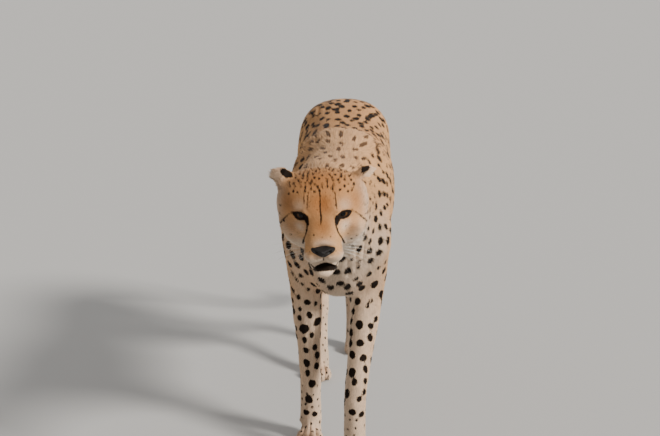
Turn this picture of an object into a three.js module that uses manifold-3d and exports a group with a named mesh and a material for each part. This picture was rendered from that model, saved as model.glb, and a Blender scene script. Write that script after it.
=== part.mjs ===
// A life-size cheetah, walking with its head held low: the animal that stands in a museum hall.
// The body is modelled whole, as rounded tubes joined together, and is then parted by thin cuts
// into the pieces that a person would name. Millimetres, Z up, the head towards -Y, left is +X.

import * as THREE from 'three';
import { mergeVertices } from 'three/addons/utils/BufferGeometryUtils.js';
import Module from 'manifold-3d';

const wasm = await Module();
wasm.setup();

// ---------------------------------------------------------------- driving dimensions

const WITHERS = 737; // height of the back over the shoulders
const RUMP_TOP = 734; // height of the back over the hips
const ELBOW = 405;
const WRIST = 158;
const STIFLE = 418;
const HOCK = 205;
const PARTING = 0.3; // width of the thin cuts between pieces

const HEAD_AT = [-41, -455, 664]; // the point midway between the eyes
const HEAD_PITCH = 18; // degrees, nose down
const HEAD_ROLL = -2; // degrees, its left side a little higher
const EYE_APART = 37; // from the middle of the head to the centre of an eye
const EYE_RADIUS = 15.5;
const FACE_HALF_WIDTH = 84;

const SHOULDER_HALF = 72; // from the middle of the chest to the spine of a shoulder
const HIP_HALF = 66;
const PAW_HALF = 31;
const TOE_RADIUS = 10.5;

const FEET = {
  front_left: { x: 27, y: -102, turn: 3 },
  front_right: { x: -72, y: 52, turn: -5 },
  hind_left: { x: 40, y: 672, turn: 9 },
  hind_right: { x: -54, y: 472, turn: -4 },
};

// ---------------------------------------------------------------- finishes

const finish = (color, roughness) => new THREE.MeshStandardMaterial({ color, roughness, metalness: 0 });
const FINISH = {
  coat: () => finish(0xcf9f6f, 0.85),
  pale: () => finish(0xe9dccb, 0.9),
  dark: () => finish(0x2a201b, 0.55),
  eye: () => finish(0x8a5a22, 0.15),
  horn: () => finish(0x3a2f28, 0.45),
};

// ---------------------------------------------------------------- solids

const radians = THREE.MathUtils.degToRad;
const signed = (value, power) => Math.sign(value) * Math.abs(value) ** power;

// A closed, rounded tube along a smooth spine. Each station is
// [x, y, z, half width, half height over the spine, half height under it].
function tube({ stations, around, along, up, ends = [0.1, 0.1], square = 1, keel = 0 }) {
  const vectors = (from) => stations.map((s) => new THREE.Vector3(...s.slice(from, from + 3)));
  const spine = new THREE.CatmullRomCurve3(vectors(0));
  const sizes = new THREE.CatmullRomCurve3(vectors(3));
  const over = new THREE.Vector3(...up);
  const geometry = new THREE.SphereGeometry(1, around, along);
  const points = geometry.attributes.position;
  for (let i = 0; i < points.count; i++) {
    const seat = new THREE.Vector3().fromBufferAttribute(points, i);
    const t = Math.acos(THREE.MathUtils.clamp(seat.y, -1, 1)) / Math.PI;
    const reach = t < 0.5 ? t / ends[0] : (1 - t) / ends[1];
    const closing = reach < 1 ? Math.sqrt(Math.max(0, 1 - (1 - reach) ** 2)) : 1;
    const tangent = spine.getTangent(t);
    const normal = over.clone().addScaledVector(tangent, -over.dot(tangent)).normalize();
    const across = normal.clone().cross(tangent);
    const angle = Math.atan2(seat.z, seat.x);
    const rise = signed(Math.sin(angle), square);
    const run = signed(Math.cos(angle), square) * (1 - keel * Math.max(0, -rise));
    const size = sizes.getPoint(t);
    const place = spine.getPoint(t);
    place.addScaledVector(across, run * size.x * closing);
    place.addScaledVector(normal, rise * (rise > 0 ? size.y : size.z) * closing);
    points.setXYZ(i, place.x, place.y, place.z);
  }
  return geometry;
}

// A rounded lump: a sphere stretched to three half-sizes and turned (degrees) in place.
function lump(at, halves, turn = [0, 0, 0], around = 9, along = 6) {
  const geometry = new THREE.SphereGeometry(1, around, along);
  geometry.scale(...halves);
  geometry.applyMatrix4(placed(at, turn));
  return geometry;
}

function placed(at, turn = [0, 0, 0]) {
  const angles = new THREE.Euler(...turn.map(radians), 'ZYX');
  const turned = new THREE.Quaternion().setFromEuler(angles);
  return new THREE.Matrix4().compose(new THREE.Vector3(...at), turned, new THREE.Vector3(1, 1, 1));
}

function solid(geometry) {
  const bare = geometry.clone();
  bare.deleteAttribute('normal');
  bare.deleteAttribute('uv');
  const merged = mergeVertices(bare, 1e-3);
  const faces = [];
  const corners = merged.index.array;
  for (let i = 0; i < corners.length; i += 3) {
    const [a, b, c] = corners.slice(i, i + 3);
    if (a !== b && b !== c && c !== a) faces.push(a, b, c);
  }
  const mesh = new wasm.Mesh({
    numProp: 3,
    vertProperties: new Float32Array(merged.attributes.position.array),
    triVerts: new Uint32Array(faces),
  });
  return new wasm.Manifold(mesh);
}

const joined = (geometries) => geometries.map(solid).reduce((whole, part) => whole.add(part));
const sides = [['left', 1], ['right', -1]];

// ---------------------------------------------------------------- trunk and neck

function trunk() {
  return tube({
    around: 18, along: 14, up: [0, 0, 1], ends: [0.12, 0.11], square: 0.84, keel: 0.3,
    stations: [
      [-14, -184, 512, 34, 30, 46],
      [-14, -134, 534, 84, 102, 148],
      [-9, -40, 550, 110, 160, 182],
      [-3, 40, 560, 118, WITHERS - 560, 188],
      [3, 140, 564, 119, 149, 176],
      [7, 240, 572, 119, 131, 158],
      [10, 330, 588, 109, 120, 128],
      [10, 410, 604, 107, 119, 108],
      [10, 490, 616, 116, RUMP_TOP - 616, 102],
      [10, 575, 616, 114, 100, 98],
      [10, 650, 610, 88, 71, 74],
      [9, 702, 602, 42, 38, 40],
    ],
  });
}

function neck() {
  return tube({
    around: 14, along: 8, up: [0, 0, 1], ends: [0.13, 0.13], square: 0.92,
    stations: [
      [-4, 60, 604, 84, 118, 120],
      [-10, -60, 608, 90, 117, 138],
      [-20, -150, 624, 84, 98, 126],
      [-31, -240, 642, 75, 85, 100],
      [-39, -320, 656, 71, 74, 88],
      [-41, -400, 656, 65, 62, 76],
      [-41, -475, 650, 50, 48, 58],
    ],
  });
}

// ---------------------------------------------------------------- head
// Its pieces are laid out from the point between the eyes, the nose towards -Y,
// then tipped and carried to their place together.

const HEAD_PLACE = placed(HEAD_AT, [HEAD_PITCH, HEAD_ROLL, 0]);
const onHead = (geometry) => geometry.applyMatrix4(HEAD_PLACE);

function skull() {
  return tube({
    around: 16, along: 12, up: [0, 0, 1], ends: [0.1, 0.1], square: 0.85,
    stations: [
      [0, 124, -6, 58, 44, 54],
      [0, 90, -4, 80, 55, 64],
      [0, 50, -4, 86, 61, 68],
      [0, 14, -4, 80, 55, 67],
      [0, -8, -8, 63, 45, 60],
      [0, -24, -16, 43, 34, 48],
      [0, -42, -24, 35, 27, 38],
      [0, -66, -30, 34, 23, 29],
      [0, -88, -35, 29, 18, 22],
    ],
  });
}

function lowerJaw() {
  return tube({
    around: 9, along: 7, up: [0, 0, 1], ends: [0.15, 0.15], square: 0.9,
    stations: [
      [0, 66, -50, 46, 22, 38],
      [0, 24, -60, 41, 18, 33],
      [0, -16, -71, 33, 14, 25],
      [0, -42, -76, 30, 13, 19],
      [0, -76, -79, 25, 14, 15],
    ],
  });
}

function faceLumps() {
  const lumps = [lump([0, -67, -80], [22, 17, 13], [0, 0, 0], 8, 4)];
  for (const [, side] of sides) {
    lumps.push(lump([side * 45, 24, -25], [FACE_HALF_WIDTH - 45, 46, 53], [0, side * 4, 0], 8, 5));
    lumps.push(lump([side * 30, 0, 24], [27, 17, 14], [10, side * 14, side * 10], 6, 4));
    lumps.push(lump([side * 18, -66, -42], [21, 25, 17.5], [0, side * 8, side * -14], 8, 5));
    lumps.push(lump([side * 24.6, -37, -58.5], [10, 27, 13.5], [10, 0, side * -5], 6, 4));
  }
  return lumps;
}

// The slightly open mouth: a wedge between the lips at the front; the hanging lips close its sides.
function mouthGap() {
  const lips = new THREE.Shape();
  lips.moveTo(100, -60);
  lips.lineTo(100, -69);
  lips.lineTo(62, -68);
  lips.lineTo(26, -64);
  lips.lineTo(26, -62);
  lips.closePath();
  const half = 20;
  const wedge = new THREE.ExtrudeGeometry(lips, { depth: 2 * half, bevelEnabled: false });
  // The outline lies in a plane of front against height: stand it up across the head.
  wedge.applyMatrix4(new THREE.Matrix4().set(0, 0, 1, -half, -1, 0, 0, 0, 0, 1, 0, 0, 0, 0, 0, 1));
  return wedge;
}

function eye(side, spare = 0) {
  const radius = EYE_RADIUS + spare;
  return lump([side * EYE_APART, -7, 5], [radius, radius, radius], [90, 0, 0], 9, 6);
}

// The open almond between the lids, in front of an eye.
function lidOpening(side) {
  return lump([side * (EYE_APART + 2), -30, 13], [16, 12, 8], [-25, side * -10, side * -20], 8, 5);
}

function nosePad(spare = 0) {
  const middle = -29;
  const high = 9.8;
  const pad = lump([0, -80, middle], [21 + spare, 11 + spare, high + spare], [0, 0, 0], 9, 6);
  const points = pad.attributes.position;
  for (let i = 0; i < points.count; i++) {
    const drop = THREE.MathUtils.clamp((middle - points.getZ(i)) / high, 0, 1);
    points.setX(i, points.getX(i) * (1 - 0.5 * drop));
  }
  return pad;
}

// A round, cupped ear, turned out and laid back, its furry back upwards.
const EARS = {
  left: { base: [66, 68, 40], tip: [0.95, 0.25, 0.22], back: [-0.25, 0.2, 0.95] },
  right: { base: [-62, 66, 38], tip: [-0.88, 0.2, 0.38], back: [0.3, -0.6, 0.7] },
};

function earPlace({ base, tip, back }) {
  const along = new THREE.Vector3(...tip).normalize();
  const across = new THREE.Vector3(...back).cross(along).normalize();
  const behind = along.clone().cross(across);
  return new THREE.Matrix4().makeBasis(across, behind, along).setPosition(...base);
}

function ear(seat) {
  const half = 24;
  const pinna = new THREE.SphereGeometry(1, 10, 7);
  pinna.scale(half, 6, half + 2);
  const points = pinna.attributes.position;
  for (let i = 0; i < points.count; i++) {
    const x = points.getX(i) / half;
    const z = points.getZ(i) / half;
    points.setX(i, half * x * (1 - 0.12 * z));
    points.setY(i, points.getY(i) - 12 * x * x - 5 * z * z + 6);
  }
  pinna.translate(0, 0, half - 10);
  return pinna.applyMatrix4(earPlace(seat));
}

// ---------------------------------------------------------------- legs

function foreleg(side, foot, wristAt, elbowAt) {
  const shoulder = side * SHOULDER_HALF - 14;
  const front = [0, -1, 0];
  const elbow = [side * 70 - 12, elbowAt, ELBOW];
  const wrist = [foot.x, wristAt, WRIST];
  const between = (t) => elbow.map((value, i) => value + (wrist[i] - value) * t);
  return [
    tube({
      around: 11, along: 7, up: front, ends: [0.15, 0.16], stations: [
        [shoulder - side * 12, 30, 676, 32, 56, 62],
        [shoulder, -16, 600, 44, 70, 72],
        [shoulder + side * 2, elbowAt - 62, 520, 47, 56, 84],
        [(shoulder + elbow[0]) / 2, elbowAt - 26, 452, 43, 48, 62],
        [elbow[0], elbowAt, ELBOW - 16, 39, 41, 50],
        [...between(0.24), 35, 36, 38],
      ],
    }),
    tube({
      around: 9, along: 9, up: front, ends: [0.12, 0.12], stations: [
        [elbow[0], elbowAt + 2, ELBOW + 24, 38, 37, 46],
        [...between(0.14), 38, 39, 43],
        [...between(0.45), 34, 33, 35],
        [...between(0.78), 27, 25, 27],
        [...between(0.97), 27, 25, 28],
        [wrist[0], wristAt + 4, WRIST - 28, 26, 24, 28],
        [foot.x, (wristAt + foot.y) / 2 + 10, WRIST - 82, 26, 24, 26],
        [foot.x, foot.y + 16, 44, 28, 27, 27],
        [foot.x, foot.y + 14, 14, 24, 26, 22],
      ],
    }),
  ];
}

function hindleg(side, foot, stifleAt, hock) {
  const hip = side * HIP_HALF + 9;
  const hipAt = 562;
  const front = [0, -1, 0];
  const stifle = [side * 71 + 8, stifleAt, STIFLE];
  const heel = [hock[0], hock[1], HOCK];
  const between = (t) => stifle.map((value, i) => value + (heel[i] - value) * t);
  return [
    tube({
      around: 11, along: 8, up: front, ends: [0.14, 0.14], stations: [
        [hip - side * 14, hipAt, 692, 42, 76, 92],
        [hip - side * 1, hipAt, 620, 54, 112, 114],
        [hip + side * 4, 0.6 * hipAt + 0.4 * stifleAt, 535, 52, 104, 112],
        [stifle[0] - side * 3, stifleAt + 24, STIFLE + 34, 43, 62, 90],
        [stifle[0] - side * 3, stifleAt + 30, STIFLE - 22, 37, 46, 72],
        [...between(0.3), 33, 34, 56],
      ],
    }),
    tube({
      around: 9, along: 8, up: [0, -0.8, 0.6], ends: [0.14, 0.14], stations: [
        [...between(-0.05), 35, 34, 54],
        [...between(0.3), 34, 37, 54],
        [...between(0.62), 26, 30, 35],
        [...between(0.88), 20, 23, 25],
        [heel[0], heel[1] + 6, HOCK - 6, 21, 23, 23],
      ],
    }),
    tube({
      around: 8, along: 7, up: front, ends: [0.15, 0.15], stations: [
        [heel[0], heel[1] + 10, HOCK + 22, 18, 20, 22],
        [heel[0], heel[1] + 6, HOCK - 14, 22, 24, 25],
        [(heel[0] + foot.x) / 2, (heel[1] + foot.y) / 2 + 8, 126, 21, 20, 22],
        [foot.x, foot.y + 20, 66, 24, 23, 24],
        [foot.x, foot.y + 14, 40, 26, 27, 25],
        [foot.x, foot.y + 12, 14, 23, 25, 21],
      ],
    }),
  ];
}

// ---------------------------------------------------------------- paws
// Four toes in a fan round a broad pad; the two middle ones reach furthest.

const TOES = [[-23, 22], [-8.5, 36], [8.5, 36], [23, 22]];
const TOE_HEIGHT = 13.5;
const TOE_LENGTH = 24;

const atPaw = (geometry, foot) => geometry.applyMatrix4(placed([foot.x, foot.y, 0], [0, 0, foot.turn]));

function paw(foot) {
  const pads = [lump([0, 6, 22], [PAW_HALF - 3, 36, 27], [-8, 0, 0], 7, 4)];
  for (const [x, ahead] of TOES) {
    pads.push(lump([x, -ahead, TOE_HEIGHT], [TOE_RADIUS, TOE_LENGTH, 17.5], [12, 0, x * 0.5], 6, 5));
  }
  return pads.map((pad) => atPaw(pad, foot));
}

function claw(foot, toe) {
  const [x, ahead] = TOES[toe];
  const root = -ahead - TOE_LENGTH - PARTING;
  const lean = x * 0.12;
  return atPaw(tube({
    around: 4, along: 3, up: [0, 0, 1], ends: [0.1, 0.4], stations: [
      [x, root, 12, 2.6, 3.6, 3.6],
      [x + lean, root - 5, 10, 2, 2.8, 2.8],
      [x + lean * 2, root - 11, 5, 1, 1.2, 1.2],
    ],
  }), foot);
}

// ---------------------------------------------------------------- tail

const TAIL = [
  [8, 640, 652, 34, 30, 30],
  [8, 700, 630, 29, 27, 27],
  [12, 752, 560, 25, 24, 24],
  [19, 786, 470, 22, 22, 22],
  [27, 812, 370, 20, 20, 20],
  [36, 848, 275, 19, 19, 19],
  [46, 905, 205, 19, 19, 19],
  [55, 975, 180, 20, 20, 20],
  [60, 1040, 196, 19, 18, 18],
];

const tail = () => tube({ around: 8, along: 17, up: [1, 0, 0], ends: [0.05, 0.045], stations: TAIL });

// ---------------------------------------------------------------- the whole body

const feet = Object.entries(FEET);
const underfoot = new THREE.BoxGeometry(1000, 2500, 100).translate(0, 250, -50);

let flesh = joined([
  trunk(), neck(), tail(),
  ...[skull(), lowerJaw(), ...faceLumps(), ...Object.values(EARS).map(ear)].map(onHead),
  ...foreleg(1, FEET.front_left, -86, -2),
  ...foreleg(-1, FEET.front_right, 56, 20),
  ...hindleg(1, FEET.hind_left, 462, [30, 698]),
  ...hindleg(-1, FEET.hind_right, 408, [-50, 572]),
  ...feet.flatMap(([, foot]) => paw(foot)),
]);
flesh = flesh.subtract(solid(underfoot)).subtract(solid(onHead(mouthGap())));
for (const [, side] of sides) {
  flesh = flesh.subtract(solid(onHead(eye(side, PARTING)))).subtract(solid(onHead(lidOpening(side))));
}
flesh = flesh.subtract(solid(onHead(nosePad(PARTING))));

// ---------------------------------------------------------------- parting
// Each piece is what a turned box holds; the rest keeps clear of the box by the thin cut.

const box = (from, to, place = new THREE.Matrix4()) => ({ from, to, place });

function boxSolid({ from, to, place }, spare = 0) {
  const size = from.map((low, i) => to[i] - low + 2 * spare);
  const middle = from.map((low, i) => (low + to[i]) / 2);
  return solid(new THREE.BoxGeometry(...size).translate(...middle).applyMatrix4(place));
}

const slant = (x, y, z, degrees) => placed([x, y, z], [0, degrees, 0]);

const CELLS = {
  ear_left: ['coat', box([-40, -30, 9], [40, 30, 80], HEAD_PLACE.clone().multiply(earPlace(EARS.left)))],
  ear_right: ['coat', box([-40, -30, 9], [40, 30, 80], HEAD_PLACE.clone().multiply(earPlace(EARS.right)))],
  jaw: ['pale', box([-60, -130, -120], [60, 0, -63.5], HEAD_PLACE)],
  head: ['coat', box([-130, -150, -140], [130, 92, 110], HEAD_PLACE)],
  neck: ['coat', box([-200, -360, -220], [200, 0, 400], placed([0, -125, 608], [-27, 0, 0]))],
  forepaw_left: ['pale', box([-16, -200, -5], [120, 0, 138])],
  forepaw_right: ['pale', box([-160, -60, -5], [-24, 150, 138])],
  forearm_left: ['coat', box([-16, -200, 100], [130, 110, 366])],
  forearm_right: ['coat', box([-170, -110, 100], [-24, 150, 366])],
  upper_foreleg_left: ['coat', box([0, -190, -300], [260, 72, 0], slant(12, 0, 372, -60))],
  upper_foreleg_right: ['coat', box([-260, -190, -300], [0, 92, 0], slant(-26, 0, 372, 60))],
  hindpaw_left: ['pale', box([-5, 570, -5], [130, 790, 172])],
  hindpaw_right: ['pale', box([-130, 330, -5], [10, 650, 172])],
  shank_left: ['coat', box([-5, 330, 150], [150, 770, 392])],
  shank_right: ['coat', box([-140, 300, 150], [12, 640, 392])],
  tail_tip: ['coat', box([-60, 880, 60], [180, 1200, 330])],
  tail_middle: ['coat', box([-60, 725, 60], [180, 1000, 500])],
  tail_root: ['coat', box([-60, 690, 400], [120, 900, 700])],
  thigh_left: ['coat', box([0, 404, -400], [300, 800, 0], slant(12, 0, 393, -70))],
  thigh_right: ['coat', box([-300, 362, -400], [0, 800, 0], slant(6, 0, 393, 70))],
  chest: ['coat', box([-300, -400, 100], [300, 142, 1000])],
  belly: ['coat', box([-300, 100, 100], [300, 402, 1000])],
  rump: ['coat', box([-300, 300, 100], [300, 900, 1000])],
};

const cheetah = new THREE.Group();

function addPiece(name, geometry, look) {
  const piece = new THREE.Mesh(geometry, FINISH[look]());
  piece.name = name;
  cheetah.add(piece);
}

function shellOf(shape) {
  const { vertProperties, triVerts } = shape.getMesh();
  const geometry = new THREE.BufferGeometry();
  geometry.setAttribute('position', new THREE.BufferAttribute(new Float32Array(vertProperties), 3));
  geometry.setIndex(new THREE.BufferAttribute(new Uint32Array(triVerts), 1));
  geometry.computeVertexNormals();
  return geometry;
}

// The largest body of a cut; a sliver that the cut grazes off a curve is dropped.
const larger = (one, other) => (other.volume() > one.volume() ? other : one);
const largest = (shape) => shape.decompose().reduce(larger);

for (const [name, [look, cell]] of Object.entries(CELLS)) {
  addPiece(name, shellOf(largest(flesh.intersect(boxSolid(cell)))), look);
  flesh = flesh.subtract(boxSolid(cell, PARTING));
}

for (const [name, side] of sides) addPiece(`eye_${name}`, onHead(eye(side)), 'eye');
addPiece('nose', onHead(nosePad()), 'dark');
for (const [place, foot] of feet) {
  TOES.forEach((_, toe) => addPiece(`claw_${place}_${toe + 1}`, claw(foot, toe), 'horn'));
}

// The reference point: on the floor, under the middle of the whole animal.
const reach = new THREE.Box3().setFromObject(cheetah);
cheetah.position.set(-(reach.min.x + reach.max.x) / 2, -(reach.min.y + reach.max.y) / 2, 0);

export default cheetah;
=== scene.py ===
"""A life-size cheetah, walking with its head held low.

One skin of flesh lies inside the solid pieces by the depth of the coat. Its markings are worked out
once, as distances from the edges of spots, lines and rings, and the tufts of fur that stand on it
read the same markings at their roots. Metres; the head towards -Y, the animal's own left is +X.
"""
import math

import bmesh
import bpy
import numpy as np
from mathutils import Euler, Matrix, Vector
from mathutils.bvhtree import BVHTree
from mathutils.kdtree import KDTree


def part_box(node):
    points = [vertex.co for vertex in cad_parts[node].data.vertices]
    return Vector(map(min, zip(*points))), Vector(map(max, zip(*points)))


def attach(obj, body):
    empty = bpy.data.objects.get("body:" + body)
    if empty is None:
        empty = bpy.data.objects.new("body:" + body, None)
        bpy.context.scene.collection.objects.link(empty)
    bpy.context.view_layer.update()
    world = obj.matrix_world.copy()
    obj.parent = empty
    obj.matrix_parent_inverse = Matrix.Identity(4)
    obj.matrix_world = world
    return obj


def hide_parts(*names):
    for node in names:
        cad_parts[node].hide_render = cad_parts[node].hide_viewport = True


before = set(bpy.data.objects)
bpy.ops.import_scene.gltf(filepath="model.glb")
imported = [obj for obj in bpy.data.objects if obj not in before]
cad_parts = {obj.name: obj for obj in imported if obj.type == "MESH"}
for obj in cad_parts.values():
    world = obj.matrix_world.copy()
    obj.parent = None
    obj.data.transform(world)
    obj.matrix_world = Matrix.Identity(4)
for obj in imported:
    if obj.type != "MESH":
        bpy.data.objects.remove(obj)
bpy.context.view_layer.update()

# ---------------------------------------------------------------- driving sizes

MM = 0.001
HEAD_PITCH = math.radians(18)  # nose down
HEAD_ROLL = math.radians(-2)
EYE_SEAT = Vector((0, 7, 5)) * MM  # from the head's own zero: forward and up, to the eyes' middle
SKIN_VOXEL = 5.8 * MM
CUT_HALF = 0.35 * MM  # closes the thin cuts between the pieces of flesh
FAR = 99.0  # millimetres: outside every mark and opening
FAR_OFF = 9.0  # metres: further than any part of the animal

VIEW_SIZE = (660, 436)
FOCAL_PIXELS = 1330
CAMERA_HEIGHT = 1.247
CAMERA_AHEAD = 2.36585  # in front of the point between the eyes
CAMERA_ASIDE = 0.014
CAMERA_TILT = math.radians(14)  # looks down

FLESH = [
    "head", "jaw", "ear_left", "ear_right", "neck", "chest", "belly", "rump",
    "tail_root", "tail_middle", "tail_tip",
    "upper_foreleg_left", "upper_foreleg_right", "forearm_left", "forearm_right",
    "forepaw_left", "forepaw_right", "thigh_left", "thigh_right",
    "shank_left", "shank_right", "hindpaw_left", "hindpaw_right",
]
TRUNK = ("belly", "rump", "chest", "neck", "head")
LEG_PARTS = ("upper_foreleg", "forearm", "forepaw", "thigh", "shank", "hindpaw")

# For each piece of flesh: how much its facets are smoothed (0 to 1), the depth of its coat, the
# length of its tufts and the gap between them, in millimetres, and the way its fur lies.
PIECE_COAT = {
    "head": (0.10, 2.6, 7.5, 1.65, None),
    "jaw": (0.06, 2.4, 7, 1.65, None),
    "ear": (0.03, 1.6, 5.2, 1.7, None),
    "neck": (0.9, 5.5, 15, 2.35, (0, 1, -0.45)),
    "chest": (1.0, 4.2, 13, 2.35, (0, 1, -0.55)),
    "belly": (1.0, 4.6, 14, 2.45, (0, 1, -0.25)),
    "rump": (1.0, 4.2, 13, 2.4, (0, 1, -0.45)),
    "tail_root": (0.16, 3.4, 13, 2.2, (0.05, 0.35, -1)),
    "tail_middle": (0.16, 3.4, 13, 2.2, (0.08, 0.35, -1)),
    "tail_tip": (0.16, 4.4, 17, 2.2, (0.1, 1, -0.25)),
    "upper_foreleg": (0.8, 3.8, 12, 2.3, (0, 0.35, -1)),
    "forearm": (0.22, 2.8, 9, 2.05, (0, 0.2, -1)),
    "forepaw": (0.02, 2.2, 6.5, 1.85, (0, -0.25, -1)),
    "thigh": (0.9, 4.0, 13, 2.4, (0, 0.6, -1)),
    "shank": (0.22, 3.0, 9.5, 2.1, (0, 0.45, -1)),
    "hindpaw": (0.02, 2.4, 6.5, 1.85, (0, -0.2, -1)),
}
SMOOTHING, DEPTH, LENGTH, GAP, LIE = range(5)


def piece_row(table, node):
    """A node's row of a table: left and right pieces share one."""
    return table[node] if node in table else table[node.rsplit("_", 1)[0]]


def coat_column(owner, column):
    """One column of PIECE_COAT, for vertices that each lie on a piece of flesh."""
    return np.array([piece_row(PIECE_COAT, node)[column] for node in FLESH], float)[owner]


def on_pieces(owner, *starts):
    """Which vertices lie on a piece of flesh whose name starts with one of these."""
    return np.isin(owner, [i for i, node in enumerate(FLESH) if node.startswith(starts)])


# ---------------------------------------------------------------- the head's own frame

def middle(node):
    low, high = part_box(node)
    return (low + high) / 2


def head_matrix():
    """Carries the head's own frame (x to its left, y backward, z up, zero between the eyes) to the
    model's."""
    turn = Matrix.Rotation(HEAD_ROLL, 4, "Y") @ Matrix.Rotation(HEAD_PITCH, 4, "X")
    eyes = (middle("eye_left") + middle("eye_right")) / 2
    seat = turn @ Vector((0, -EYE_SEAT.y, EYE_SEAT.z))
    return Matrix.Translation(eyes - seat) @ turn


HEAD = head_matrix()
HEAD_TURN = np.array(HEAD.to_3x3())
HEAD_ZERO = np.array(HEAD.translation)


def to_head(points):
    """Side, forward and up from between the eyes, in millimetres."""
    local = (points - HEAD_ZERO) @ HEAD_TURN / MM
    return local * (1, -1, 1)


def from_head(local):
    """The model's place of a point given as side, forward and up in millimetres."""
    return (np.asarray(local, float) * (1, -1, 1) * MM) @ HEAD_TURN.T + HEAD_ZERO


# ---------------------------------------------------------------- small helpers

def unit(vectors):
    return vectors / np.maximum(np.linalg.norm(vectors, axis=-1, keepdims=True), 1e-12)


def smoothstep(values, low, high):
    t = np.clip((values - low) / (high - low), 0, 1)
    return t * t * (3 - 2 * t)


def link(mesh, name):
    piece = bpy.data.objects.new(name, mesh)
    bpy.context.scene.collection.objects.link(piece)
    return piece


def mesh_of(bm, name):
    """Ends a bmesh as a mesh."""
    mesh = bpy.data.meshes.new(name)
    bm.to_mesh(mesh)
    bm.free()
    return mesh


def coordinates(mesh):
    co = np.empty(len(mesh.vertices) * 3, np.float32)
    mesh.vertices.foreach_get("co", co)
    return co.reshape(-1, 3).astype(float)


def set_coordinates(mesh, co):
    mesh.vertices.foreach_set("co", np.ascontiguousarray(co, np.float32).ravel())
    mesh.update()


def vertex_normals(mesh):
    normals = np.empty(len(mesh.vertices) * 3, np.float32)
    mesh.vertices.foreach_get("normal", normals)
    return unit(normals.reshape(-1, 3).astype(float))


def store(mesh, name, values):
    layer = mesh.attributes.get(name) or mesh.attributes.new(name, "FLOAT", "POINT")
    layer.data.foreach_set("value", np.ascontiguousarray(values, np.float32))


def surface_tree(mesh):
    co = coordinates(mesh)
    return BVHTree.FromPolygons(co.tolist(), [list(face.vertices) for face in mesh.polygons])


def point_tree(places):
    tree = KDTree(len(places))
    for index, place in enumerate(places.tolist()):
        tree.insert(place, index)
    tree.balance()
    return tree


def bump(values, place, reach):
    """1 at a place and fading to 0 over the reach, for rows of values."""
    away = ((values - np.array(place, float)) / reach) ** 2
    return np.exp(-np.minimum(away.sum(1), 60))


def surface_moves(local, moves):
    """How far each place shifts under a table of moves: each has a place, a reach and a shift, and
    is made on both sides of the middle."""
    shift = np.zeros_like(local)
    for place, reach, move in moves:
        for side in (1, -1) if place[0] else (1,):
            flip = np.array((side, 1, 1))
            shift += bump(local, np.array(place) * flip, reach)[:, None] * np.array(move) * flip
    return shift


def side_signs(local):
    """Turns a place on the right of the head to its left, and back."""
    return np.where(local[:, :1] < 0, (-1, 1, 1), (1, 1, 1))


def both_sides(local):
    """The same places with their side made positive."""
    return local * side_signs(local)


class Spread:
    """Averages values over the neighbours of each vertex of a mesh."""

    def __init__(self, mesh):
        edges = np.empty(len(mesh.edges) * 2, np.int32)
        mesh.edges.foreach_get("vertices", edges)
        edges = edges.reshape(-1, 2)
        self.near = np.concatenate([edges[:, 0], edges[:, 1]])
        self.far = np.concatenate([edges[:, 1], edges[:, 0]])
        self.size = len(mesh.vertices)
        self.count = np.maximum(np.bincount(self.near, minlength=self.size), 1)

    def mean(self, values):
        if values.ndim == 1:
            return np.bincount(self.near, values[self.far], self.size) / self.count
        return np.stack([self.mean(column) for column in values.T], 1)

    def smooth(self, values, rounds, share=0.5):
        share = np.asarray(share)
        if share.ndim and values.ndim > 1:
            share = share[:, None]
        for _ in range(rounds):
            values = values + share * (self.mean(values) - values)
        return values


# ---------------------------------------------------------------- skin: one closed surface

def flesh_cast():
    """The pieces of flesh and the eyeballs under the lids, each swollen to close the cuts, as one
    remeshed surface."""
    whole = bmesh.new()
    for node in FLESH + ["eye_left", "eye_right"]:
        piece = bmesh.new()
        piece.from_mesh(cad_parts[node].data)
        bmesh.ops.remove_doubles(piece, verts=piece.verts, dist=0.01 * MM)
        piece.normal_update()
        for vert in piece.verts:
            vert.co += vert.normal * CUT_HALF
        shell = mesh_of(piece, "shell")
        whole.from_mesh(shell)
        bpy.data.meshes.remove(shell)
    cast = mesh_of(whole, "cast")
    source = link(cast, "cast")
    remesh = source.modifiers.new("one_skin", "REMESH")
    remesh.mode = "VOXEL"
    remesh.voxel_size = SKIN_VOXEL
    evaluated = source.evaluated_get(bpy.context.evaluated_depsgraph_get())
    mesh = bpy.data.meshes.new_from_object(evaluated)
    bpy.data.objects.remove(source)
    bpy.data.meshes.remove(cast)
    mesh.name = "skin"
    return mesh


def nearest_pieces(points):
    """For each point, the index in FLESH of the piece of flesh that it lies on."""
    corners, faces, owner = [], [], []
    for index, node in enumerate(FLESH):
        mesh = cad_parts[node].data
        base = len(corners)
        corners.extend(v.co.copy() for v in mesh.vertices)
        for polygon in mesh.polygons:
            faces.append([base + v for v in polygon.vertices])
            owner.append(index)
    tree = BVHTree.FromPolygons(corners, faces)
    owner = np.array(owner)
    return owner[[tree.find_nearest(Vector(p))[2] for p in points]]


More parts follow.
